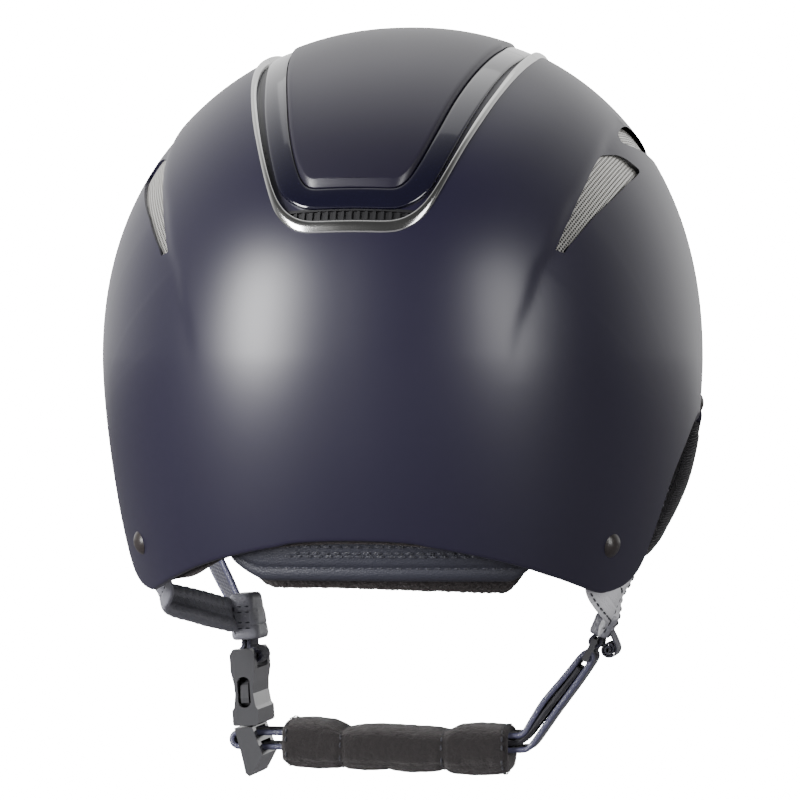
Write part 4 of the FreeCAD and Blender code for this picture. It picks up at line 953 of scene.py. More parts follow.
# ---------------------------------------------------------------- peak
# x, y, z of the free edge, from the left end to the middle
PEAK_EDGE = [(97.6, -43, 56), (94.0, -60, 45.5), (89.6, -80, 36), (84.0, -102, 27.3),
             (78, -120, 18.9), (72.4, -132, 11.5), (66, -142, 6.5), (56.5, -153.5, 5.5),
             (44, -165, 8), (30, -174.5, 11.5), (15, -181, 14.2), (0, -183.2, 15.2)]
PEAK_COLUMNS, PEAK_ROWS = 201, 25
PEAK_WALL = 2.0
PEAK_LINING = 1.4
PEAK_ARCH = 3.4
ROOT_LIFT = 0.35


def peak():
    """Outer skin, ribbed lining, rounded edge binding and a row of stitches."""
    edge = PEAK_EDGE + [(-x, y, z) for x, y, z in reversed(PEAK_EDGE[:-1])]
    edge = resample(smooth_curve(edge, 800), PEAK_COLUMNS)
    share = np.linspace(0, 1, PEAK_COLUMNS)
    swell = np.sin(math.pi * share)
    start = math.atan2(-40.0 - FORM_Y, 97.0)
    root_theta = start + (-math.pi - 2 * start) * share
    root_z = 61.5 + 3.5 * swell
    root = polar(root_theta, root_z, ROOT_LIFT)
    middle_up = np.stack([root[:, 0] * 0.2, -30.0 * swell, np.full(PEAK_COLUMNS, 90.0)], -1)
    end_up = np.stack([root[:, 0], np.full(PEAK_COLUMNS, -20.0),
                       np.full(PEAK_COLUMNS, 60.0)], -1)
    blend = np.clip((np.abs(root[:, 0]) - 50) / 20, 0, 1)[:, None]
    arch_up = unit(unit(middle_up) * (1 - blend) + unit(end_up) * blend)
    run = np.linspace(0, 1, PEAK_ROWS)
    sheet = (root[:, None] + (edge - root)[:, None] * run[None, :, None]
             + arch_up[:, None] * (PEAK_ARCH * 4 * run * (1 - run))[None, :, None]
             * (0.35 + 0.65 * swell)[:, None, None])
    normals = unit(np.cross(np.gradient(sheet, axis=0), np.gradient(sheet, axis=1)))
    upward = np.stack([sheet[..., 0] * 0.6, sheet[..., 1] * 0.3,
                       np.full(sheet.shape[:2], 60.0)], -1)
    normals = normals * np.sign((normals * upward).sum(-1, keepdims=True))

    def layer(depth, first_row=0, trim=0):
        grid = sheet - normals * depth
        if depth > 0:
            grid[:, 0] = polar(root_theta, root_z - depth * 1.1, ROOT_LIFT)
        return grid[trim:PEAK_COLUMNS - trim, first_row:]

    Parts().slab(layer(0.0), layer(PEAK_WALL)).build(
        "peak_shell", SHELL_PAINT, "shell", node="peak", angle=40)
    Parts().slab(layer(PEAK_WALL + 0.06, 1, 2), layer(PEAK_WALL + 0.08 + PEAK_LINING, 1, 2)).build(
        "peak_under_lining", LINING, "dark_lining", node="peak_lining", angle=40)

    outward = unit(sheet[:, -1] - sheet[:, -3])
    centres = sheet[:, -1] - normals[:, -1] * ((PEAK_WALL + PEAK_LINING) * 0.5) + outward * 1.2
    course = tangents(centres)
    rings = []
    for i in range(PEAK_COLUMNS):
        up = square_off(course[i], normals[i, -1])
        size = 1.0 if 3 < i < PEAK_COLUMNS - 4 else 0.75
        rings.append(oval(centres[i], up * 2.15 * size, np.cross(course[i], up) * 1.5 * size, 16))
    Parts().tube(rings).build("peak_binding", LINING, "dark_lining", node="peak_edge_binding")

    parts = Parts()
    seam_normals = normals[4:-4, -3]
    seam = sheet[4:-4, -3] - seam_normals * (PEAK_WALL + PEAK_LINING + 0.08)
    stitches(parts, seam, -seam_normals, length=2.4, pitch=3.4, radius=0.32)
    parts.build("peak_stitches", THREAD, "dark_lining")


# ---------------------------------------------------------------- harness straps
STRAP_POINTS = 170
FLAT_SHARE = 0.18         # share of each strap, from its tab, left without padding
TAB_LIFT = -(WALL + 1.5)  # the tabs lie this far inside the form
HARNESS = {1: "harness_left", -1: "harness_right"}


# Section heights of a strap, as shares of half its thickness. u runs across from -1 to 1,
# s is the distance along, fill grows from 0 at the tab to 1, phase is random.
def rolls_height(u, s, fill, phase, top):
    """Two rolls with a gathered channel between them."""
    reach = abs(u)
    if reach > 0.30:
        dome = 1 - ((reach - 0.65) / 0.35) ** 2
        height = 0.62 + 0.50 * math.sqrt(max(dome, 0))
        height += (0.07 * fill * math.sin(s * 1.7 + phase[0] + 2.2 * (u > 0)) * dome
                   * (1.3 if u > 0 else 0.7))
    else:
        ripple = math.sin(s * 2.5 + phase[1] + 0.8 * math.sin(s * 0.7))
        height = 0.60 + 0.13 * fill * (1 - (reach / 0.30) ** 2) * ripple
    height = height * fill + (1 - fill) * 0.8
    if reach >= 0.9:
        height *= math.sqrt(max(1 - ((reach - 0.9) / 0.1) ** 2, 0.0)) * 0.9 + 0.1
    return height


def leather_height(u, s, fill, phase, top):
    """Plain leather with a sunk seam and stitch lines near both edges."""
    edge = math.sqrt(max(1 - abs(u) ** 5, 0.0))
    if not top:
        return 0.85 * edge
    height = (0.80 + 0.22 * (1 - u * u)) * edge
    for seam, depth, width in ((-0.78, 0.16, 0.05), (0.78, 0.16, 0.05), (0.10, 0.20, 0.045)):
        height -= depth * math.exp(-((u - seam) / width) ** 2) * fill
    return (height + 0.05 * fill * math.sin(s * 0.55 + 3 * u + phase[2])
            + 0.025 * math.sin(s * 1.6 - 4 * u + phase[3]) * fill)


def flat_height(u, s, fill, phase, top):
    """Flat band with raised edges."""
    height = (0.9 + 0.04 * math.cos(u * 18)) * math.sqrt(max(1 - abs(u) ** 5, 0.0))
    return height * 1.18 if abs(u) > 0.82 else height


# style: section, then place across and height of its two stitch rows
STYLES = {"rolls": (rolls_height, (0.33, 0.57)), "leather": (leather_height, (0.78, 0.74)),
          "flat": (flat_height, None)}


def spread(table, count):
    return np.interp(np.linspace(0, 1, count), np.linspace(0, 1, len(table)), table)


def strap_frames(path, outs):
    """Outward and width directions along a ribbon, easing from one given direction to the next."""
    course = tangents(path)
    outs = np.asarray(outs, float)
    place = np.linspace(0, len(outs) - 1, len(path))
    k = np.minimum(place.astype(int), len(outs) - 2)
    share = (place - k)[:, None]
    share = share * share * (3 - 2 * share)
    out = square_off(course, outs[k] * (1 - share) + outs[k + 1] * share)
    return out, unit(np.cross(course, out))


def padded_strap(node, suffix, side, route, widths, thicknesses, style, material, slot,
                 thread=THREAD):
    """A soft strap with its stitches; returns its path, directions and half width."""
    points, outs = route
    path = resample(smooth_curve(points, 400), STRAP_POINTS)
    out, across = strap_frames(path, outs)
    half_width = spread(widths, STRAP_POINTS) / 2
    half_thick = spread(thicknesses, STRAP_POINTS) / 2
    lengths = run_lengths(path)
    section, seam = STYLES[style]
    top_count = 41
    us = np.concatenate([np.linspace(-1, 1, top_count), np.linspace(1, -1, 25)[1:-1]])
    phase = RNG.uniform(0, 6.28, 8)
    rings = []
    for i in range(STRAP_POINTS):
        s = lengths[i]
        fill = min(max((i / (STRAP_POINTS - 1.0) - FLAT_SHARE) / 0.15, 0.0), 1.0)
        end = min(0.55 + 0.45 * math.sqrt(min(gap / 2.0, 1)) for gap in (s, lengths[-1] - s))
        ring = []
        for j, u in enumerate(us):
            top = j < top_count
            height = section(u, s, fill, phase, top)
            shift = half_width[i] * u * (0.94 + 0.06 * end)
            if style == "rolls":
                shift += 0.10 * math.sin(s * 1.3 + (2 if u > 0 else 0)) * abs(u) ** 3 * fill
            ring.append(path[i] + across[i] * shift
                        + out[i] * half_thick[i] * end * (height if top else -height))
        rings.append(ring)
    Parts().tube(rings).build(node + suffix, material, slot, HARNESS[side], node=node)
    if seam:
        parts = Parts()
        span = slice(int(STRAP_POINTS * (FLAT_SHARE + 0.08)), -3)
        for u in (-seam[0], seam[0]):
            row = (path[span] + across[span] * (half_width[span] * u)[:, None]
                   + out[span] * (half_thick[span] * seam[1])[:, None])
            stitches(parts, row, out[span], length=2.0, pitch=2.9, radius=0.34, lift=0.20)
        parts.build(node + suffix + "_stitches", thread, slot, HARNESS[side])
    return path, out, across, half_width


def strap_piping(name, strap, u):
    """Round piping along the strap at place u across it, from below the rim."""
    start, radius = 62, 1.1
    path, out, across, half_width = (values[start:] for values in strap)
    line = path + across * (half_width * u)[:, None]
    course = tangents(line)
    rings = []
    for i in range(len(line)):
        up = square_off(course[i], out[i])
        size = radius * min(1.0, 0.3 + 0.7 * math.sqrt(min(i, len(line) - 1 - i) / 3.0))
        rings.append(oval(line[i], up * size, np.cross(course[i], up) * size, 12))
    Parts().tube(rings).build(name, PIPING, "webbing", HARNESS[1])


def rear_route(side, tail):
    """Points and outward directions of a rear strap, from its tab down."""
    anchor = side_point(70.0, 16.0, side)
    out = normal(anchor)
    points = [side_point(70.0, 21.5, side, TAB_LIFT), anchor + out * TAB_LIFT,
              side_point(67.5, 9.5, side, TAB_LIFT - 0.6),
              side_point(62.0, 2.0, side, TAB_LIFT - 2.8)]
    outs = [out, out, out, (side * 0.86, 0.42, -0.25), (side * 0.93, 0.2, -0.28),
            (side * 0.95, 0.15, -0.24)]
    return points + tail, outs


def front_route(side, tail):
    """Points and outward directions of a front strap, from its tab down."""
    anchor = side_point(-33.0, 62.5, side)
    out = normal(anchor)
    points = [side_point(-33.0, 68.0, side, TAB_LIFT), anchor + out * TAB_LIFT,
              side_point(-32.6, 56.5, side, TAB_LIFT - 0.4)]
    outs = [out, out, (side * 0.95, -0.1, 0.3)]
    if side > 0:
        outs += [(0.9, 0.1, 0.42), (0.89, 0.24, 0.38), (0.89, 0.24, 0.36)]
    else:
        outs += [(-0.9, 0, 0.42), (-0.93, 0, 0.35)]
    return points + tail, outs


def straps():
    padded_strap(
        "rear_strap_left", "_pad", 1,
        rear_route(1, [(77.0, 47, -2.6), (70.0, 29, -6.8), (61.0, 8.0, -11.2)]),
        [13, 14, 13.6, 13, 13, 12.6], [1.5, 1.5, 2.4, 3.9, 3.9, 3.1],
        "rolls", LEATHER, "grey_leatherette", GREY_THREAD)
    band = padded_strap(
        "front_strap_left", "_band", 1,
        front_route(1, [(87.0, -25, 38), (76.5, -16, 16), (66.5, -11.0, -2.0),
                        (60.0, -9.6, -13.0)]),
        [13, 14, 13, 12, 12], [1.5, 1.5, 2.2, 2.2, 2.0], "flat", WEBBING, "webbing")
    for k, u in enumerate((-0.93, 0.93)):
        strap_piping("front_strap_left_piping_%d" % k, band, u)
    # both right straps use the leatherette painted lighter for the light falling on that side
    padded_strap(
        "rear_strap_right", "_pad", -1,
        rear_route(-1, [(-76.5, 47, -3.5), (-74.0, 27, -6.0), (-71.4, 10.0, -8.5),
                        (-68.9, 4.5, -13.6)]),
        [13, 14, 13.6, 13, 13, 12.6], [1.5, 1.5, 2.2, 3.0, 3.0, 2.4],
        "leather", LIT_LEATHER, "grey_leatherette")
    padded_strap(
        "front_strap_right", "_band", -1,
        front_route(-1, [(-88.5, -25, 39), (-80.0, -15.5, 17), (-73.8, -9.5, 0.5),
                         (-71.2, -8.5, -8.0), (-68.7, -5.5, -13.8)]),
        [13, 14, 13, 12, 11], [1.5, 1.5, 2.2, 2.4, 2.2],
        "leather", LIT_LEATHER, "grey_leatherette", GREY_THREAD)


def sleeve(key, side, centre, axis, length, deep, wide, grooves, taper=0.0):
    """Leather sleeve round the joined straps, with stitched grooves running round it."""
    centre, axis = np.array(centre, float), unit(np.array(axis, float))
    depth_way = unit(np.cross(np.array([0, 1.0, 0]), axis))
    width_way = np.cross(axis, depth_way)
    count = 64
    rings = []
    for i in range(count):
        s = -length / 2 + length * i / (count - 1.0)
        end = min(length / 2 - abs(s), 2.2) / 2.2
        size = 0.80 + 0.20 * math.sqrt(max(1 - (1 - end) ** 2, 0))
        groove = sum(0.030 * math.exp(-((s - place) / 0.34) ** 2) for place in grooves)
        swell = 0.010 * math.cos(FULL_TURN * s / (length / 2.6))
        ring = []
        for angle in np.linspace(0, FULL_TURN, 73)[:-1]:
            cosine, sine = math.cos(angle), math.sin(angle)
            thinning = taper * (s / length) if cosine < 0 else 0
            x = deep / 2 * bent(cosine, 0.5) * (size - groove + swell - thinning)
            y = wide / 2 * bent(sine, 0.42) * (size - groove * 0.5 + swell * 0.4)
            x += 0.12 * math.sin(y * 0.9 + s * 0.5)
            ring.append(centre + axis * s + depth_way * x + width_way * y)
        rings.append(ring)
    Parts().tube(rings).build("sleeve_" + key, LEATHER, "grey_leatherette", HARNESS[side],
                              node="strap_sleeve_" + key)

    parts = Parts()

    def row(path, out, stitch_length, pitch, radius):
        stitches(parts, path, np.tile(out, (len(path), 1)), stitch_length, pitch, radius,
                 lift=0.1)

    out = depth_way * (side if depth_way[0] > 0 else -side)
    face_y = np.linspace(-wide / 2 + 2.4, wide / 2 - 2.4, 30)[:, None]
    edge_x = np.linspace(-deep / 2 + 1.6, deep / 2 - 1.6, 12)[:, None]
    for place in grooves:
        for offset in (-1.0, 1.0):
            level = centre + axis * (place + offset)
            row(level + width_way * face_y + out * (deep / 2 * 0.985), out, 1.9, 2.8, 0.30)
            row(level + width_way * (wide / 2 * 0.985) + depth_way * edge_x, width_way,
                1.7, 2.6, 0.28)
    run = np.linspace(-length / 2 + 1.6, length / 2 - 1.6, 20)[:, None]
    row(centre + axis * run + width_way * (wide / 2 * 0.99) + depth_way * (deep * 0.28 * side),
        width_way, 1.8, 2.6, 0.28)
    parts.build("sleeve_" + key + "_stitches", GREY_THREAD, "grey_leatherette", HARNESS[side])


# ---------------------------------------------------------------- webbing and chin strap
STRAP_Y = -5.0                       # the webbing runs in this plane
BUCKLE_BAR = (57.4, -25.5)           # x, z of the bar at the left buckle
RING_TOP = (-65.3, -19.5)            # upper and lower bars of the ring on the right
BAR_GAP = 6.1
RING_LEAN = math.radians(26.3)
RING_LOW = (RING_TOP[0] + math.sin(RING_LEAN) * BAR_GAP,
            RING_TOP[1] - math.cos(RING_LEAN) * BAR_GAP)
UPPER_RUN_Z, LOWER_RUN_Z = -52.2, -57.2
TURN_X = 59.6                        # centre of the turn at the strap's left end
RIB_PITCH = 1.55


def in_plane(points):
    return np.array([(x, STRAP_Y, z) for x, z in points], float)


def side_normal(path, closed=False):
    course = tangents(path, closed)
    return np.stack([-course[:, 2], np.zeros(len(path)), course[:, 0]], -1)


def webbing(path, width, thick, closed=False):
    """Sections of a flat woven band with raised selvedges and a fine transverse rib."""
    course = tangents(path, closed)
    out = square_off(course, side_normal(path, closed))
    across = unit(np.cross(course, out))
    lengths = run_lengths(path)
    us = np.concatenate([np.linspace(-1, 1, 33), np.linspace(1, -1, 33)[1:-1]])
    rings = []
    for i in range(len(path)):
        ring = []
        for j, u in enumerate(us):
            edge = math.sqrt(max(1 - abs(u) ** 8, 0.0))
            zigzag = 0.5 * abs(((u * 2.5) % 2) - 1)
            rib = 0.5 + 0.5 * math.sin(FULL_TURN * (lengths[i] / RIB_PITCH + zigzag))
            height = thick / 2 * (0.80 + 0.20 * rib if abs(u) < 0.86 else 0.98 + 0.06 * rib)
            ring.append(path[i] + across[i] * (u * width / 2)
                        + out[i] * (height * edge + 0.02) * (1 if j < 33 else -1))
        rings.append(ring)
    return Parts().tube(rings, closed)


def bar_loop(name, side, bar, bar_radius, tongue, node, thick=1.25, bulge=0.0):
    """Webbing folded round a bar with both ends running up into a sleeve."""
    x0, z0 = bar
    start = unit(np.array([tongue[0][0] - x0, tongue[0][1] - z0]))
    angle = math.atan2(start[1], start[0])
    radius = bar_radius + thick / 2 + 0.04
    arc = [(x0 + radius * math.cos(a), z0 + radius * math.sin(a))
           for a in np.linspace(angle + 0.95, angle + FULL_TURN - 0.95, 40)]
    arc = in_plane([(x - bulge * max(0.0, x0 + 0.6 - x) / radius, z) for x, z in arc])
    first = (x0 + start[0] * (radius + 0.4), z0 + start[1] * (radius + 0.4))
    middle = smooth_curve(in_plane([first] + tongue), 40)
    offset = side_normal(middle) * (thick / 2 + 0.05)
    left, right = middle + offset, middle - offset
    if np.linalg.norm(arc[0] - left[0]) > np.linalg.norm(arc[0] - right[0]):
        left, right = right, left
    path = resample(np.vstack([left[::-1], arc, right]), 150)
    webbing(path, 15.0, thick).build(name, WEBBING, "webbing", HARNESS[side], node=node)


def chin_strap():
    """Endless band from the ring to the left turn and back, its round edges and inner ply."""
    body = "chin_strap_assembly"
    ring_x, ring_z = RING_LOW
    upper = smooth_curve(in_plane([
        (ring_x + 1.66, ring_z + 1.0), (-54.8, -31.6), (-47.9, -39.8), (-43.9, -46.0),
        (-41.9, -49.4), (-40.6, -51.3), (-38.8, UPPER_RUN_Z)]), 120)
    lower = smooth_curve(in_plane([
        (ring_x - 1.66, ring_z - 1.0), (-58.5, -34.4), (-51.4, -44.0), (-46.2, -51.4),
        (-43.6, -55.0), (-41.6, -56.8), (-39.0, LOWER_RUN_Z)]), 120)
    eye_start = math.atan2(1.0, 1.66)
    eye = [(ring_x + 1.75 * math.cos(a), ring_z + 1.75 * math.sin(a))
           for a in np.linspace(eye_start, eye_start + math.pi, 24)]
    radius = (UPPER_RUN_Z - LOWER_RUN_Z) / 2
    turn = [(TURN_X + radius * math.cos(a),
             (UPPER_RUN_Z + LOWER_RUN_Z) / 2 + radius * math.sin(a))
            for a in np.linspace(-math.pi / 2, math.pi / 2, 24)]
    path = np.vstack([
        upper[::-1][:-3], in_plane(eye), lower[3:],
        in_plane([(x, LOWER_RUN_Z) for x in (-20, 0, 20, 40, 52)]), in_plane(turn),
        in_plane([(x, UPPER_RUN_Z) for x in (52, 40, 20, 0, -20)])])
    path = resample(np.vstack([path, path[:1]]), 760)[:-1]
    webbing(path, 16.0, 1.9, closed=True).build("chin_webbing", WEBBING, "webbing", body,
                                                node="chin_strap")
    parts = Parts()
    out = side_normal(path, True)
    for side in (-1, 1):
        parts.tube([oval(path[i] + np.array([0, side * 7.75, 0.0]), out[i],
                         np.array([0, 0.66, 0]), 10)
                    for i in range(0, len(path), 2)], closed=True)
    parts.build("chin_webbing_edges", PIPING, "webbing", body)
    ply = smooth_curve(in_plane([
        (-59.6, -28.6), (-56.6, -33.0), (-49.6, -41.8), (-44.2, -49.0), (-40.6, -53.2),
        (-37.4, -54.7), (-30.0, -54.7)]), 140)
    webbing(ply, 15.6, 2.3).build("chin_webbing_inner_ply", PLY, "webbing", body)


def end_roll():
    """Rolled webbing end tucked by the right sleeve."""
    sweep = 4.6 * math.pi
    spiral = []
    for turned in np.linspace(0, sweep, 130):
        radius = 0.5 + (2.85 - 0.5) * turned / sweep
        angle = math.radians(156) + sweep - turned
        spiral.append((-69.9 + radius * math.cos(angle), -22.2 + radius * math.sin(angle)))
    spiral += [(-72.0, -19.8), (-71.3, -18.2), (-70.0, -15.6)]
    webbing(in_plane(resample(spiral, 190)), 15.0, 0.75).build(
        "end_roll", WEBBING, "webbing", "harness_right", node="strap_end_roll")


# ---------------------------------------------------------------- soft pads
def inflate(obj, sewn, pressure, cap):
    """Blow the form up by a cloth simulation, by cap at most; sewn vertices stay put."""
    rest = np.array([v.co[:] for v in obj.data.vertices])
    group = obj.vertex_groups.new(name="sewn")
    group.add([int(i) for i in sewn], 1.0, "REPLACE")
    cloth = obj.modifiers.new("cloth", "CLOTH")
    settings = cloth.settings
    stiffness = 14.0
    settings.quality = 5
    settings.mass = 0.15
    settings.tension_stiffness = stiffness
    settings.compression_stiffness = stiffness
    settings.shear_stiffness = stiffness * 0.4
    settings.bending_stiffness = 0.6
    settings.use_pressure = True
    settings.uniform_pressure_force = pressure
    settings.shrink_min = 0.0
    settings.vertex_group_mass = "sewn"
    settings.pin_stiffness = 1.0
    settings.effector_weights.gravity = 0.0
    cloth.collision_settings.use_collision = False
    frames = 20
    cloth.point_cache.frame_start = 1
    cloth.point_cache.frame_end = frames
    scene = bpy.context.scene
    for number in range(1, frames + 1):
        scene.frame_set(number)
    evaluated = obj.evaluated_get(bpy.context.evaluated_depsgraph_get())
    moved = np.array([v.co[:] for v in evaluated.data.vertices])
    obj.modifiers.remove(cloth)
    scene.frame_set(1)
    shift = moved - rest
    size = np.linalg.norm(shift, axis=1, keepdims=True)
    shift = shift * np.minimum(1.0, cap * MM / np.maximum(size, 1e-9))
    obj.data.vertices.foreach_set("co", (rest + shift).astype(np.float32).ravel())
    obj.data.update()


def subdivide(obj):
    """One level of subdivision, baked into the mesh."""
    modifier = obj.modifiers.new("smooth", "SUBSURF")
    modifier.levels = 1
    modifier.render_levels = 1
    depsgraph = bpy.context.evaluated_depsgraph_get()
    mesh = bpy.data.meshes.new_from_object(obj.evaluated_get(depsgraph))
    obj.modifiers.remove(modifier)
    obj.data = mesh
    set_smooth(mesh)


def vertex_array(obj):
    return np.array([v.co[:] for v in obj.data.vertices]) / MM


# x, z of the chin pad's top and bottom outlines, pinched near x = -13 and x = 22.5
CHIN_TOP = np.array([
    (-36, -50.6), (-35, -49.3), (-33, -48.7), (-24, -48.3), (-17, -48.9), (-14.4, -50.3),
    (-13, -51.1), (-11.6, -50.5), (-8, -49.9), (0, -49.6), (12, -49.1), (19, -49.6),
    (21.2, -49.9), (22.5, -50.7), (24, -49.4), (28, -47.7), (36, -47.0), (42, -47.3),
    (43.4, -48.2), (44, -50.0)])
CHIN_BOTTOM = np.array([
    (-36, -63.6), (-34.5, -65.8), (-30, -66.5), (-22, -66.7), (-15, -66.0), (-13, -64.4),
    (-11, -65.4), (-2, -66.0), (5, -65.4), (6.5, -64.6), (8, -65.2), (15, -65.5),
    (21, -65.0), (22.5, -63.8), (24, -64.8), (32, -65.2), (40, -64.6), (43, -63.4),
    (44, -62.0)])
CHIN_PINCHES = (-13, 22.5)
CHIN_COLUMNS, CHIN_AROUND = 73, 56


def chin_pad():
    """Fabric sleeve round the strap with two sewn pinches and a seam near each end."""
    columns, around = CHIN_COLUMNS, CHIN_AROUND
    xs = np.linspace(CHIN_TOP[0, 0], CHIN_TOP[-1, 0], columns)
    tops = np.interp(xs, *CHIN_TOP.T)
    bottoms = np.interp(xs, *CHIN_BOTTOM.T)
    outer, inner = [], []
    for i, x in enumerate(xs):
        middle, half = (tops[i] + bottoms[i]) / 2, (tops[i] - bottoms[i]) / 2 * 0.965
        width = min(1.0, 0.86 + 0.14 * math.sqrt(min(i, columns - 1 - i) / 2.0))
        if min(abs(x - pinch) for pinch in CHIN_PINCHES) < 1.2:
            width *= 0.955
        inner_x = x + (0.9 if i == 0 else (-0.9 if i == columns - 1 else 0))
        for j in range(around):
            angle = FULL_TURN * j / around
            cosine, sine = math.cos(angle), math.sin(angle)
            z = middle + half * bent(sine, 0.5)
            lip = 0.55 if z > -61.6 else -0.55
            reach = 26.2 / 2 * width + (lip if abs(cosine) > 0.2 else 0)
            outer.append((x, STRAP_Y + reach * bent(cosine, 0.52), z))
            inner.append((inner_x, STRAP_Y + 8.6 * bent(cosine, 0.35),
                          -54.7 + 3.75 * bent(sine, 0.35)))
    below = columns * around
    last = (columns - 1) * around
    faces = (grid_faces(columns, around, wrap=True)
             + grid_faces(columns, around, below, wrap=True, flip=True))
    for j in range(around):
        after = (j + 1) % around
        faces.append((j, j + below, after + below, after))
        faces.append((last + after, last + after + below, last + j + below, last + j))
    pad = make("chin_pad_sleeve", outer + inner, faces, CHIN_FABRIC, "fleece", None)
    pinches = [int(np.argmin(np.abs(xs - pinch))) for pinch in CHIN_PINCHES]
    sewn = list(range(below, 2 * below))
    for i in (0, *pinches, columns - 1):
        sewn += range(i * around, (i + 1) * around)
    jitter = RNG.normal(0, 0.00010, (len(pad.data.vertices), 3))
    for vertex, shift in zip(pad.data.vertices[:below], jitter):
        vertex.co = vertex.co + Vector(shift)
    inflate(pad, sewn, pressure=5.0, cap=1.5)
    blown = vertex_array(pad)
    subdivide(pad)
    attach(pad, "chin_pad_body")
    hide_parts("chin_pad")
    parts = Parts()
    for i in (2, *pinches, columns - 3):
        ring = blown[i * around:(i + 1) * around]
        ring = np.vstack([ring, ring[:1]])
        out = unit(ring * [0, 1, 1] - np.array([0, STRAP_Y, -55.4]))
        stitches(parts, ring, out, length=2.0, pitch=3.0, radius=0.34, lift=0.25)
    parts.build("chin_pad_stitches", THREAD, "fleece", "chin_pad_body")


# y, z of the liner's lower edge, front to back
LINER_RIM = np.array([
    (-190, 54), (-150, 54), (-110, 54.5), (-60, 57), (-20, 61), (4, 61.5), (17, 57.5),
    (30, 50), (40, 41), (48, 37.5), (56, 35.6), (64, 35), (75, 35), (85, 35), (95, 35),
    (112, 35), (130, 35), (160, 35)], float)
LINER_START = 3.4        # depth below the form where the liner begins
LINER_THICKNESS = 18.0
LINER_LOW, LINER_GAIN = 0.80, 0.25    # share of the thickness low down, and gain upwards
NAPE_TOP_Z = 27.5


def liner_depth(z):
    return -(LINER_START + LINER_THICKNESS
             * (LINER_LOW + LINER_GAIN * np.clip((z - 40) / 110, 0, 1)))


def end_rise(degrees, start, start_run, end, end_run):
    """Grows from 0 to 1 beyond the two given angles."""
    beyond = np.maximum((start - degrees) / start_run, (degrees - end) / end_run)
    return np.clip(beyond, 0, 1) ** 1.6


def closed_pad(name, theta, low_z, high_z, rows, outer_lift, inner_lift, material, slot, node,
               sewn_rows=None, pressure=0.0, cap=0.5):
    """Pad inside the form, its inner side sewn down.

    The lifts are functions of (share of height, theta, z). On the outer side the two ends
    and sewn_rows are sewn, or all of it if no rows are given.
    Returns the object and the grids of its outer and inner sides before subdivision.
    """
    columns = len(theta)
    share = np.linspace(0, 1, rows)
    z = low_z[:, None] * (1 - share) + high_z[:, None] * share
    angles = np.repeat(theta[:, None], rows, 1)
    outer = polar(angles, z, outer_lift(share[None, :], angles, z))
    inner = polar(angles, z, inner_lift(share[None, :], angles, z))
    pad = Parts().slab(outer, inner).build(name, material, slot, None)
    sewn = [i * rows + j for i in range(columns) for j in range(rows)
            if sewn_rows is None or i in (0, columns - 1) or j in sewn_rows]
    sewn += range(columns * rows, 2 * columns * rows)
    inflate(pad, sewn, pressure, cap)
    outer, inner = vertex_array(pad).reshape(2, columns, rows, 3)
    subdivide(pad)
    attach(pad, "helmet")
    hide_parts(node)
    return pad, outer, inner


def nape_pad():
    """Leather pad below the rim at the back, grooved by one sewn row."""
    rows, groove_row = 25, 5
    degrees = np.linspace(63, 127, 121)
    theta = np.radians(degrees)
    degrees = np.degrees(theta)

    def outer_lift(share, angles, z):
        end = np.clip(1 - np.abs((np.degrees(angles) - 95) / 32.0), 0, 1)
        end_round = np.sqrt(np.clip(1 - (1 - np.clip(end / 0.05, 0, 1)) ** 2, 0, 1))
        bulge = 2.3 * np.sqrt(np.clip(1 - (2 * share - 1) ** 6, 0, 1))
        bulge = bulge - 0.9 * np.exp(-((share - 0.20) / 0.030) ** 2)
        return -7.3 + bulge * end_round

    _, outer, _ = closed_pad(
        "nape_pad_quilt", theta, 2.2 + 8.0 * end_rise(degrees, 71.0, 8.0, 121.0, 6.0),
        np.full(len(theta), NAPE_TOP_Z), rows, outer_lift, lambda share, angles, z: -11.9,
        NAPE_LEATHER, "grey_leatherette", "nape_pad",
        sewn_rows=(0, groove_row, rows - 1), pressure=5.0, cap=1.4)
    parts = Parts()
    groove = outer[3:-3, groove_row]
    stitches(parts, groove, normal(groove), length=2.2, pitch=3.1, radius=0.36, lift=0.2)
    # three rows across the middle: grid row, degrees cut from each end
    for j, cut in ((9, 0), (10, 1.5), (12, 0)):
        where = np.radians(np.linspace(95 - 19 + cut, 95 + 19 - cut, 120))
        line = sample(outer[:, j], theta, where)
        stitches(parts, line, normal(line), length=2.6, pitch=3.4, radius=0.42, lift=0.3)
    parts.build("nape_pad_stitches", GREY_THREAD, "grey_leatherette")


def nape_fleece():
    """Fleece inside the nape pad, with a displaced nap."""
    theta = np.radians(np.linspace(61, 129, 161))
    degrees = np.degrees(theta)
    low_z = (-2.7 - 1.3 * np.clip((degrees - 82.0) / 35.0, 0, 1)
             + 13.0 * end_rise(degrees, 70.0, 9.0, 122.0, 7.0))

    def inner_lift(share, angles, z):
        end = np.clip(1 - np.abs((np.degrees(angles) - 95) / 34.0), 0, 1)
        return (-13.4 - 4.0 * np.sqrt(np.clip(1 - (2 * share - 1) ** 4, 0, 1))
                * np.sqrt(np.clip(end / 0.06, 0.05, 1)))

    pad, _, _ = closed_pad(
        "nape_fleece_pile", theta, low_z, np.full(len(theta), NAPE_TOP_Z), 27,
        lambda share, angles, z: -12.4 - 0.5 * (2 * share - 1) ** 4, inner_lift,
        FLEECE, "fleece", "nape_fleece")
    finer = pad.modifiers.new("pile", "SUBSURF")
    finer.levels = finer.render_levels = 1
    clouds = bpy.data.textures.new("pile", "CLOUDS")
    clouds.noise_scale = 0.0012
    clouds.noise_depth = 3
    nap = pad.modifiers.new("nap", "DISPLACE")
    nap.texture = clouds
    nap.texture_coords = "LOCAL"
    nap.strength = 0.0009
    nap.mid_level = 0.62


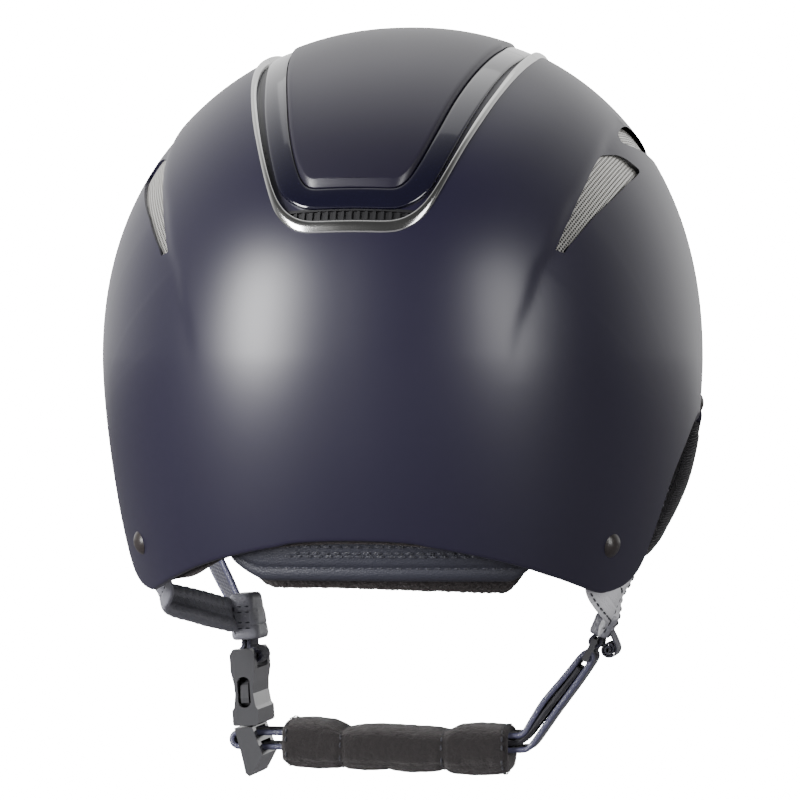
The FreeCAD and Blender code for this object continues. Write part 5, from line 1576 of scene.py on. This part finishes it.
def rim_lining():
    """Fabric strip inside the rear rim, showing below it."""
    theta = np.radians(np.linspace(42, 138, 181))
    degrees = np.degrees(theta)
    low_z = (rim_z(polar(theta, 10.0)[:, 1]) - 0.7
             - 2.6 * np.exp(-((degrees - 54) / 7.0) ** 2)
             - 0.9 * np.exp(-((degrees - 128) / 7.0) ** 2))
    share = np.linspace(0, 1, 13)
    z = low_z[:, None] + 10.0 * share
    inner = -3.85 - 0.55 * np.clip((47.0 - np.abs(degrees - 90)) / 4.0, 0, 1)
    bulge = 0.5 * np.sqrt(np.clip(1 - (2 * share - 1) ** 4, 0, 1))
    strip = Parts().slab(polar(theta[:, None], z, -3.3),
                         polar(theta[:, None], z, inner[:, None] - bulge)).build(
        "rim_lining_strip", FLEECE, "fleece", None)
    subdivide(strip)
    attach(strip, "helmet")
    # the CAD may come without this node
    if "rim_lining" in frame["nodes"]:
        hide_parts("rim_lining")


def headband():
    """Band all round the liner's lower edge, nipped in at regular angles."""
    start, rows = 94.5, 15
    theta = np.radians(np.linspace(start, 445.5, 241))
    low_z = np.interp(polar(theta, 55.0)[:, 1], LINER_RIM[:, 0], LINER_RIM[:, 1]) + 1.5

    def inner_lift(share, angles, z):
        nip = np.exp(-(((np.degrees(angles) - start) % 22.0 - 11) / 0.7) ** 2)
        return (liner_depth(z) - 3.2 - 3.2 * np.sqrt(np.clip(1 - (2 * share - 1) ** 4, 0, 1))
                * (1 - 0.55 * nip))

    _, _, inner = closed_pad(
        "headband_pad", theta, low_z, low_z + 30.0, rows,
        lambda share, angles, z: liner_depth(z) - 1.6, inner_lift,
        FLEECE, "fleece", "comfort_headband")
    parts = Parts()
    for j in (1, rows - 2):
        line = inner[3:-3, j]
        stitches(parts, line, -normal(line), length=2.6, pitch=4.0, radius=0.36, lift=0.2)
    parts.build("headband_stitches", THREAD, "fleece")


def crown_pad():
    """Quilted cushion under the top of the liner."""
    count, half_width = 41, 40
    x, phi = np.meshgrid(np.linspace(-half_width, half_width, count),
                         np.radians(np.linspace(62, 122, count)), indexing="ij")
    degrees = np.degrees(phi)
    base = -(LINER_START + LINER_THICKNESS * (LINER_LOW + LINER_GAIN) + 1.2)
    fall = (1 - (x / half_width) ** 6) * (1 - ((degrees - 92) / 30) ** 6)
    quilt = (0.35 + 0.65
             * np.abs(np.sin(x / half_width * math.pi * 1.5 + 0.5 * math.pi)) ** 0.5
             * np.abs(np.sin((degrees - 62) / 60 * math.pi * 3)) ** 0.5)
    cushion = Parts().slab(
        fan(x, phi, base),
        fan(x, phi, base - 0.8 - 4.4 * np.sqrt(np.clip(fall, 0, 1)) * quilt)).build(
        "crown_cushion", FLEECE, "fleece", None)
    subdivide(cushion)
    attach(cushion, "helmet")
    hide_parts("crown_pad")


# ---------------------------------------------------------------- stage, in metres
FLOOR_Z = -0.0805
AIM = (0, 0, 0.06)       # the lights point here


def world():
    """White to the camera; as light, a soft gradient that is brightest towards -Y."""
    studio = bpy.data.worlds.new("studio")
    bpy.context.scene.world = studio
    studio.use_nodes = True
    nodes, links = studio.node_tree.nodes, studio.node_tree.links
    background = nodes["Background"]
    coords = nodes.new("ShaderNodeTexCoord")
    facing = nodes.new("ShaderNodeVectorMath")
    facing.operation = "DOT_PRODUCT"
    facing.inputs[1].default_value = (0.165, -0.986, 0.05)
    links.new(coords.outputs["Generated"], facing.inputs[0])
    gradient = nodes.new("ShaderNodeMapRange")
    gradient.interpolation_type = "SMOOTHSTEP"
    for socket, value in (("From Min", -0.30), ("From Max", 0.92),
                          ("To Min", 0.07), ("To Max", 1.45)):
        gradient.inputs[socket].default_value = value
    links.new(facing.outputs["Value"], gradient.inputs["Value"])
    rays = nodes.new("ShaderNodeLightPath")
    choice = nodes.new("ShaderNodeMix")
    choice.data_type = "FLOAT"
    links.new(rays.outputs["Is Camera Ray"], choice.inputs[0])
    links.new(gradient.outputs[0], choice.inputs[2])
    choice.inputs[3].default_value = 18.0      # strength seen by the camera
    links.new(choice.outputs[0], background.inputs[1])
    background.inputs[0].default_value = (1, 1, 1, 1)


def floor():
    """Floor that is bright to the camera and a dull grey to all other rays."""
    mesh = bpy.data.meshes.new("floor")
    mesh.from_pydata([(x, y, FLOOR_Z) for x, y in ((-6, -8), (6, -8), (6, 6), (-6, 6))], [],
                     [(0, 1, 2, 3)])
    obj = bpy.data.objects.new("floor", mesh)
    bpy.context.scene.collection.objects.link(obj)
    look = Look("pale_floor")
    # the base colour set here stays on the socket beneath the linked mix
    look.set({"Base Color": (0.95, 0.95, 0.95, 1), "Roughness": 0.9,
              "Emission Color": (1, 1, 1, 1)})
    rays = look.node("ShaderNodeLightPath")
    glow = look.node("ShaderNodeMapRange")
    glow.inputs["To Min"].default_value = 0.02
    glow.inputs["To Max"].default_value = 16.0
    look.tree.links.new(rays.outputs["Is Camera Ray"], glow.inputs[0])
    look.feed(glow.outputs[0], "Emission Strength")
    colour = look.node("ShaderNodeMix")
    colour.data_type = "RGBA"
    colour.inputs[6].default_value = (0.19, 0.185, 0.20, 1)
    colour.inputs[7].default_value = (0.9, 0.9, 0.9, 1)
    look.tree.links.new(rays.outputs["Is Camera Ray"], colour.inputs[0])
    look.feed(colour.outputs[2], "Base Color")
    mesh.materials.append(look.material)


def area_light(name, location, width, height, power):
    light = bpy.data.lights.new(name, "AREA")
    light.shape = "RECTANGLE"
    light.size = width
    light.size_y = height
    light.energy = power
    obj = bpy.data.objects.new(name, light)
    obj.location = location
    aim = Vector(AIM) - Vector(location)
    obj.rotation_euler = aim.to_track_quat("-Z", "Y").to_euler()
    bpy.context.scene.collection.objects.link(obj)


def camera():
    """Long lens behind the helmet, level with it."""
    lens = bpy.data.cameras.new("view")
    lens.lens = 181.4
    lens.sensor_width = 36
    lens.shift_x = -0.0111
    lens.clip_end = 50
    obj = bpy.data.objects.new("view", lens)
    obj.location = (-0.2311, 1.3808, 0.0637)
    obj.rotation_euler = (math.pi / 2, 0, math.radians(189.5))
    bpy.context.scene.collection.objects.link(obj)
    bpy.context.scene.camera = obj


# ---------------------------------------------------------------- build
outer_shell()
crown_strips()
centre_panel()
outlet_grilles()
for vent in VENTS:
    vent_mesh(vent)
dress_carried()
peak()
straps()
sleeve("left", 1, centre=(57.4, -2.0, -11.8), axis=(0.06, 0, 1), length=16.0, deep=9.6,
       wide=22.0, grooves=(-2.9, 2.7), taper=0.45)
sleeve("right", -1, centre=(-67.9, -2.0, -13.8), axis=(-0.38, 0, 0.925), length=7.6, deep=7.0,
       wide=17.0, grooves=(0.0,))
bar_loop("loop_left", 1, BUCKLE_BAR, 1.66, [(57.3, -22.0), (57.2, -19.5), (57.1, -16.0)],
         "buckle_loop_left", thick=1.8, bulge=2.2)
bar_loop("loop_right", -1, RING_TOP, 1.2,
         [(RING_TOP[0] - x, RING_TOP[1] + z) for x, z in ((1.6, 3.9), (2.6, 6.4), (3.5, 8.6))],
         "ring_loop_right")
chin_strap()
end_roll()
chin_pad()
nape_pad()
nape_fleece()
rim_lining()
headband()
crown_pad()
world()
floor()
area_light("key_left", (0.95, 1.15, 0.20), width=0.44, height=1.5, power=84)
area_light("key_right", (-1.03, 0.92, 0.20), width=0.46, height=1.4, power=20)
area_light("top", (0.0, -0.5, 1.35), width=1.2, height=1.0, power=2.5)
camera()

bpy.context.view_layer.update()
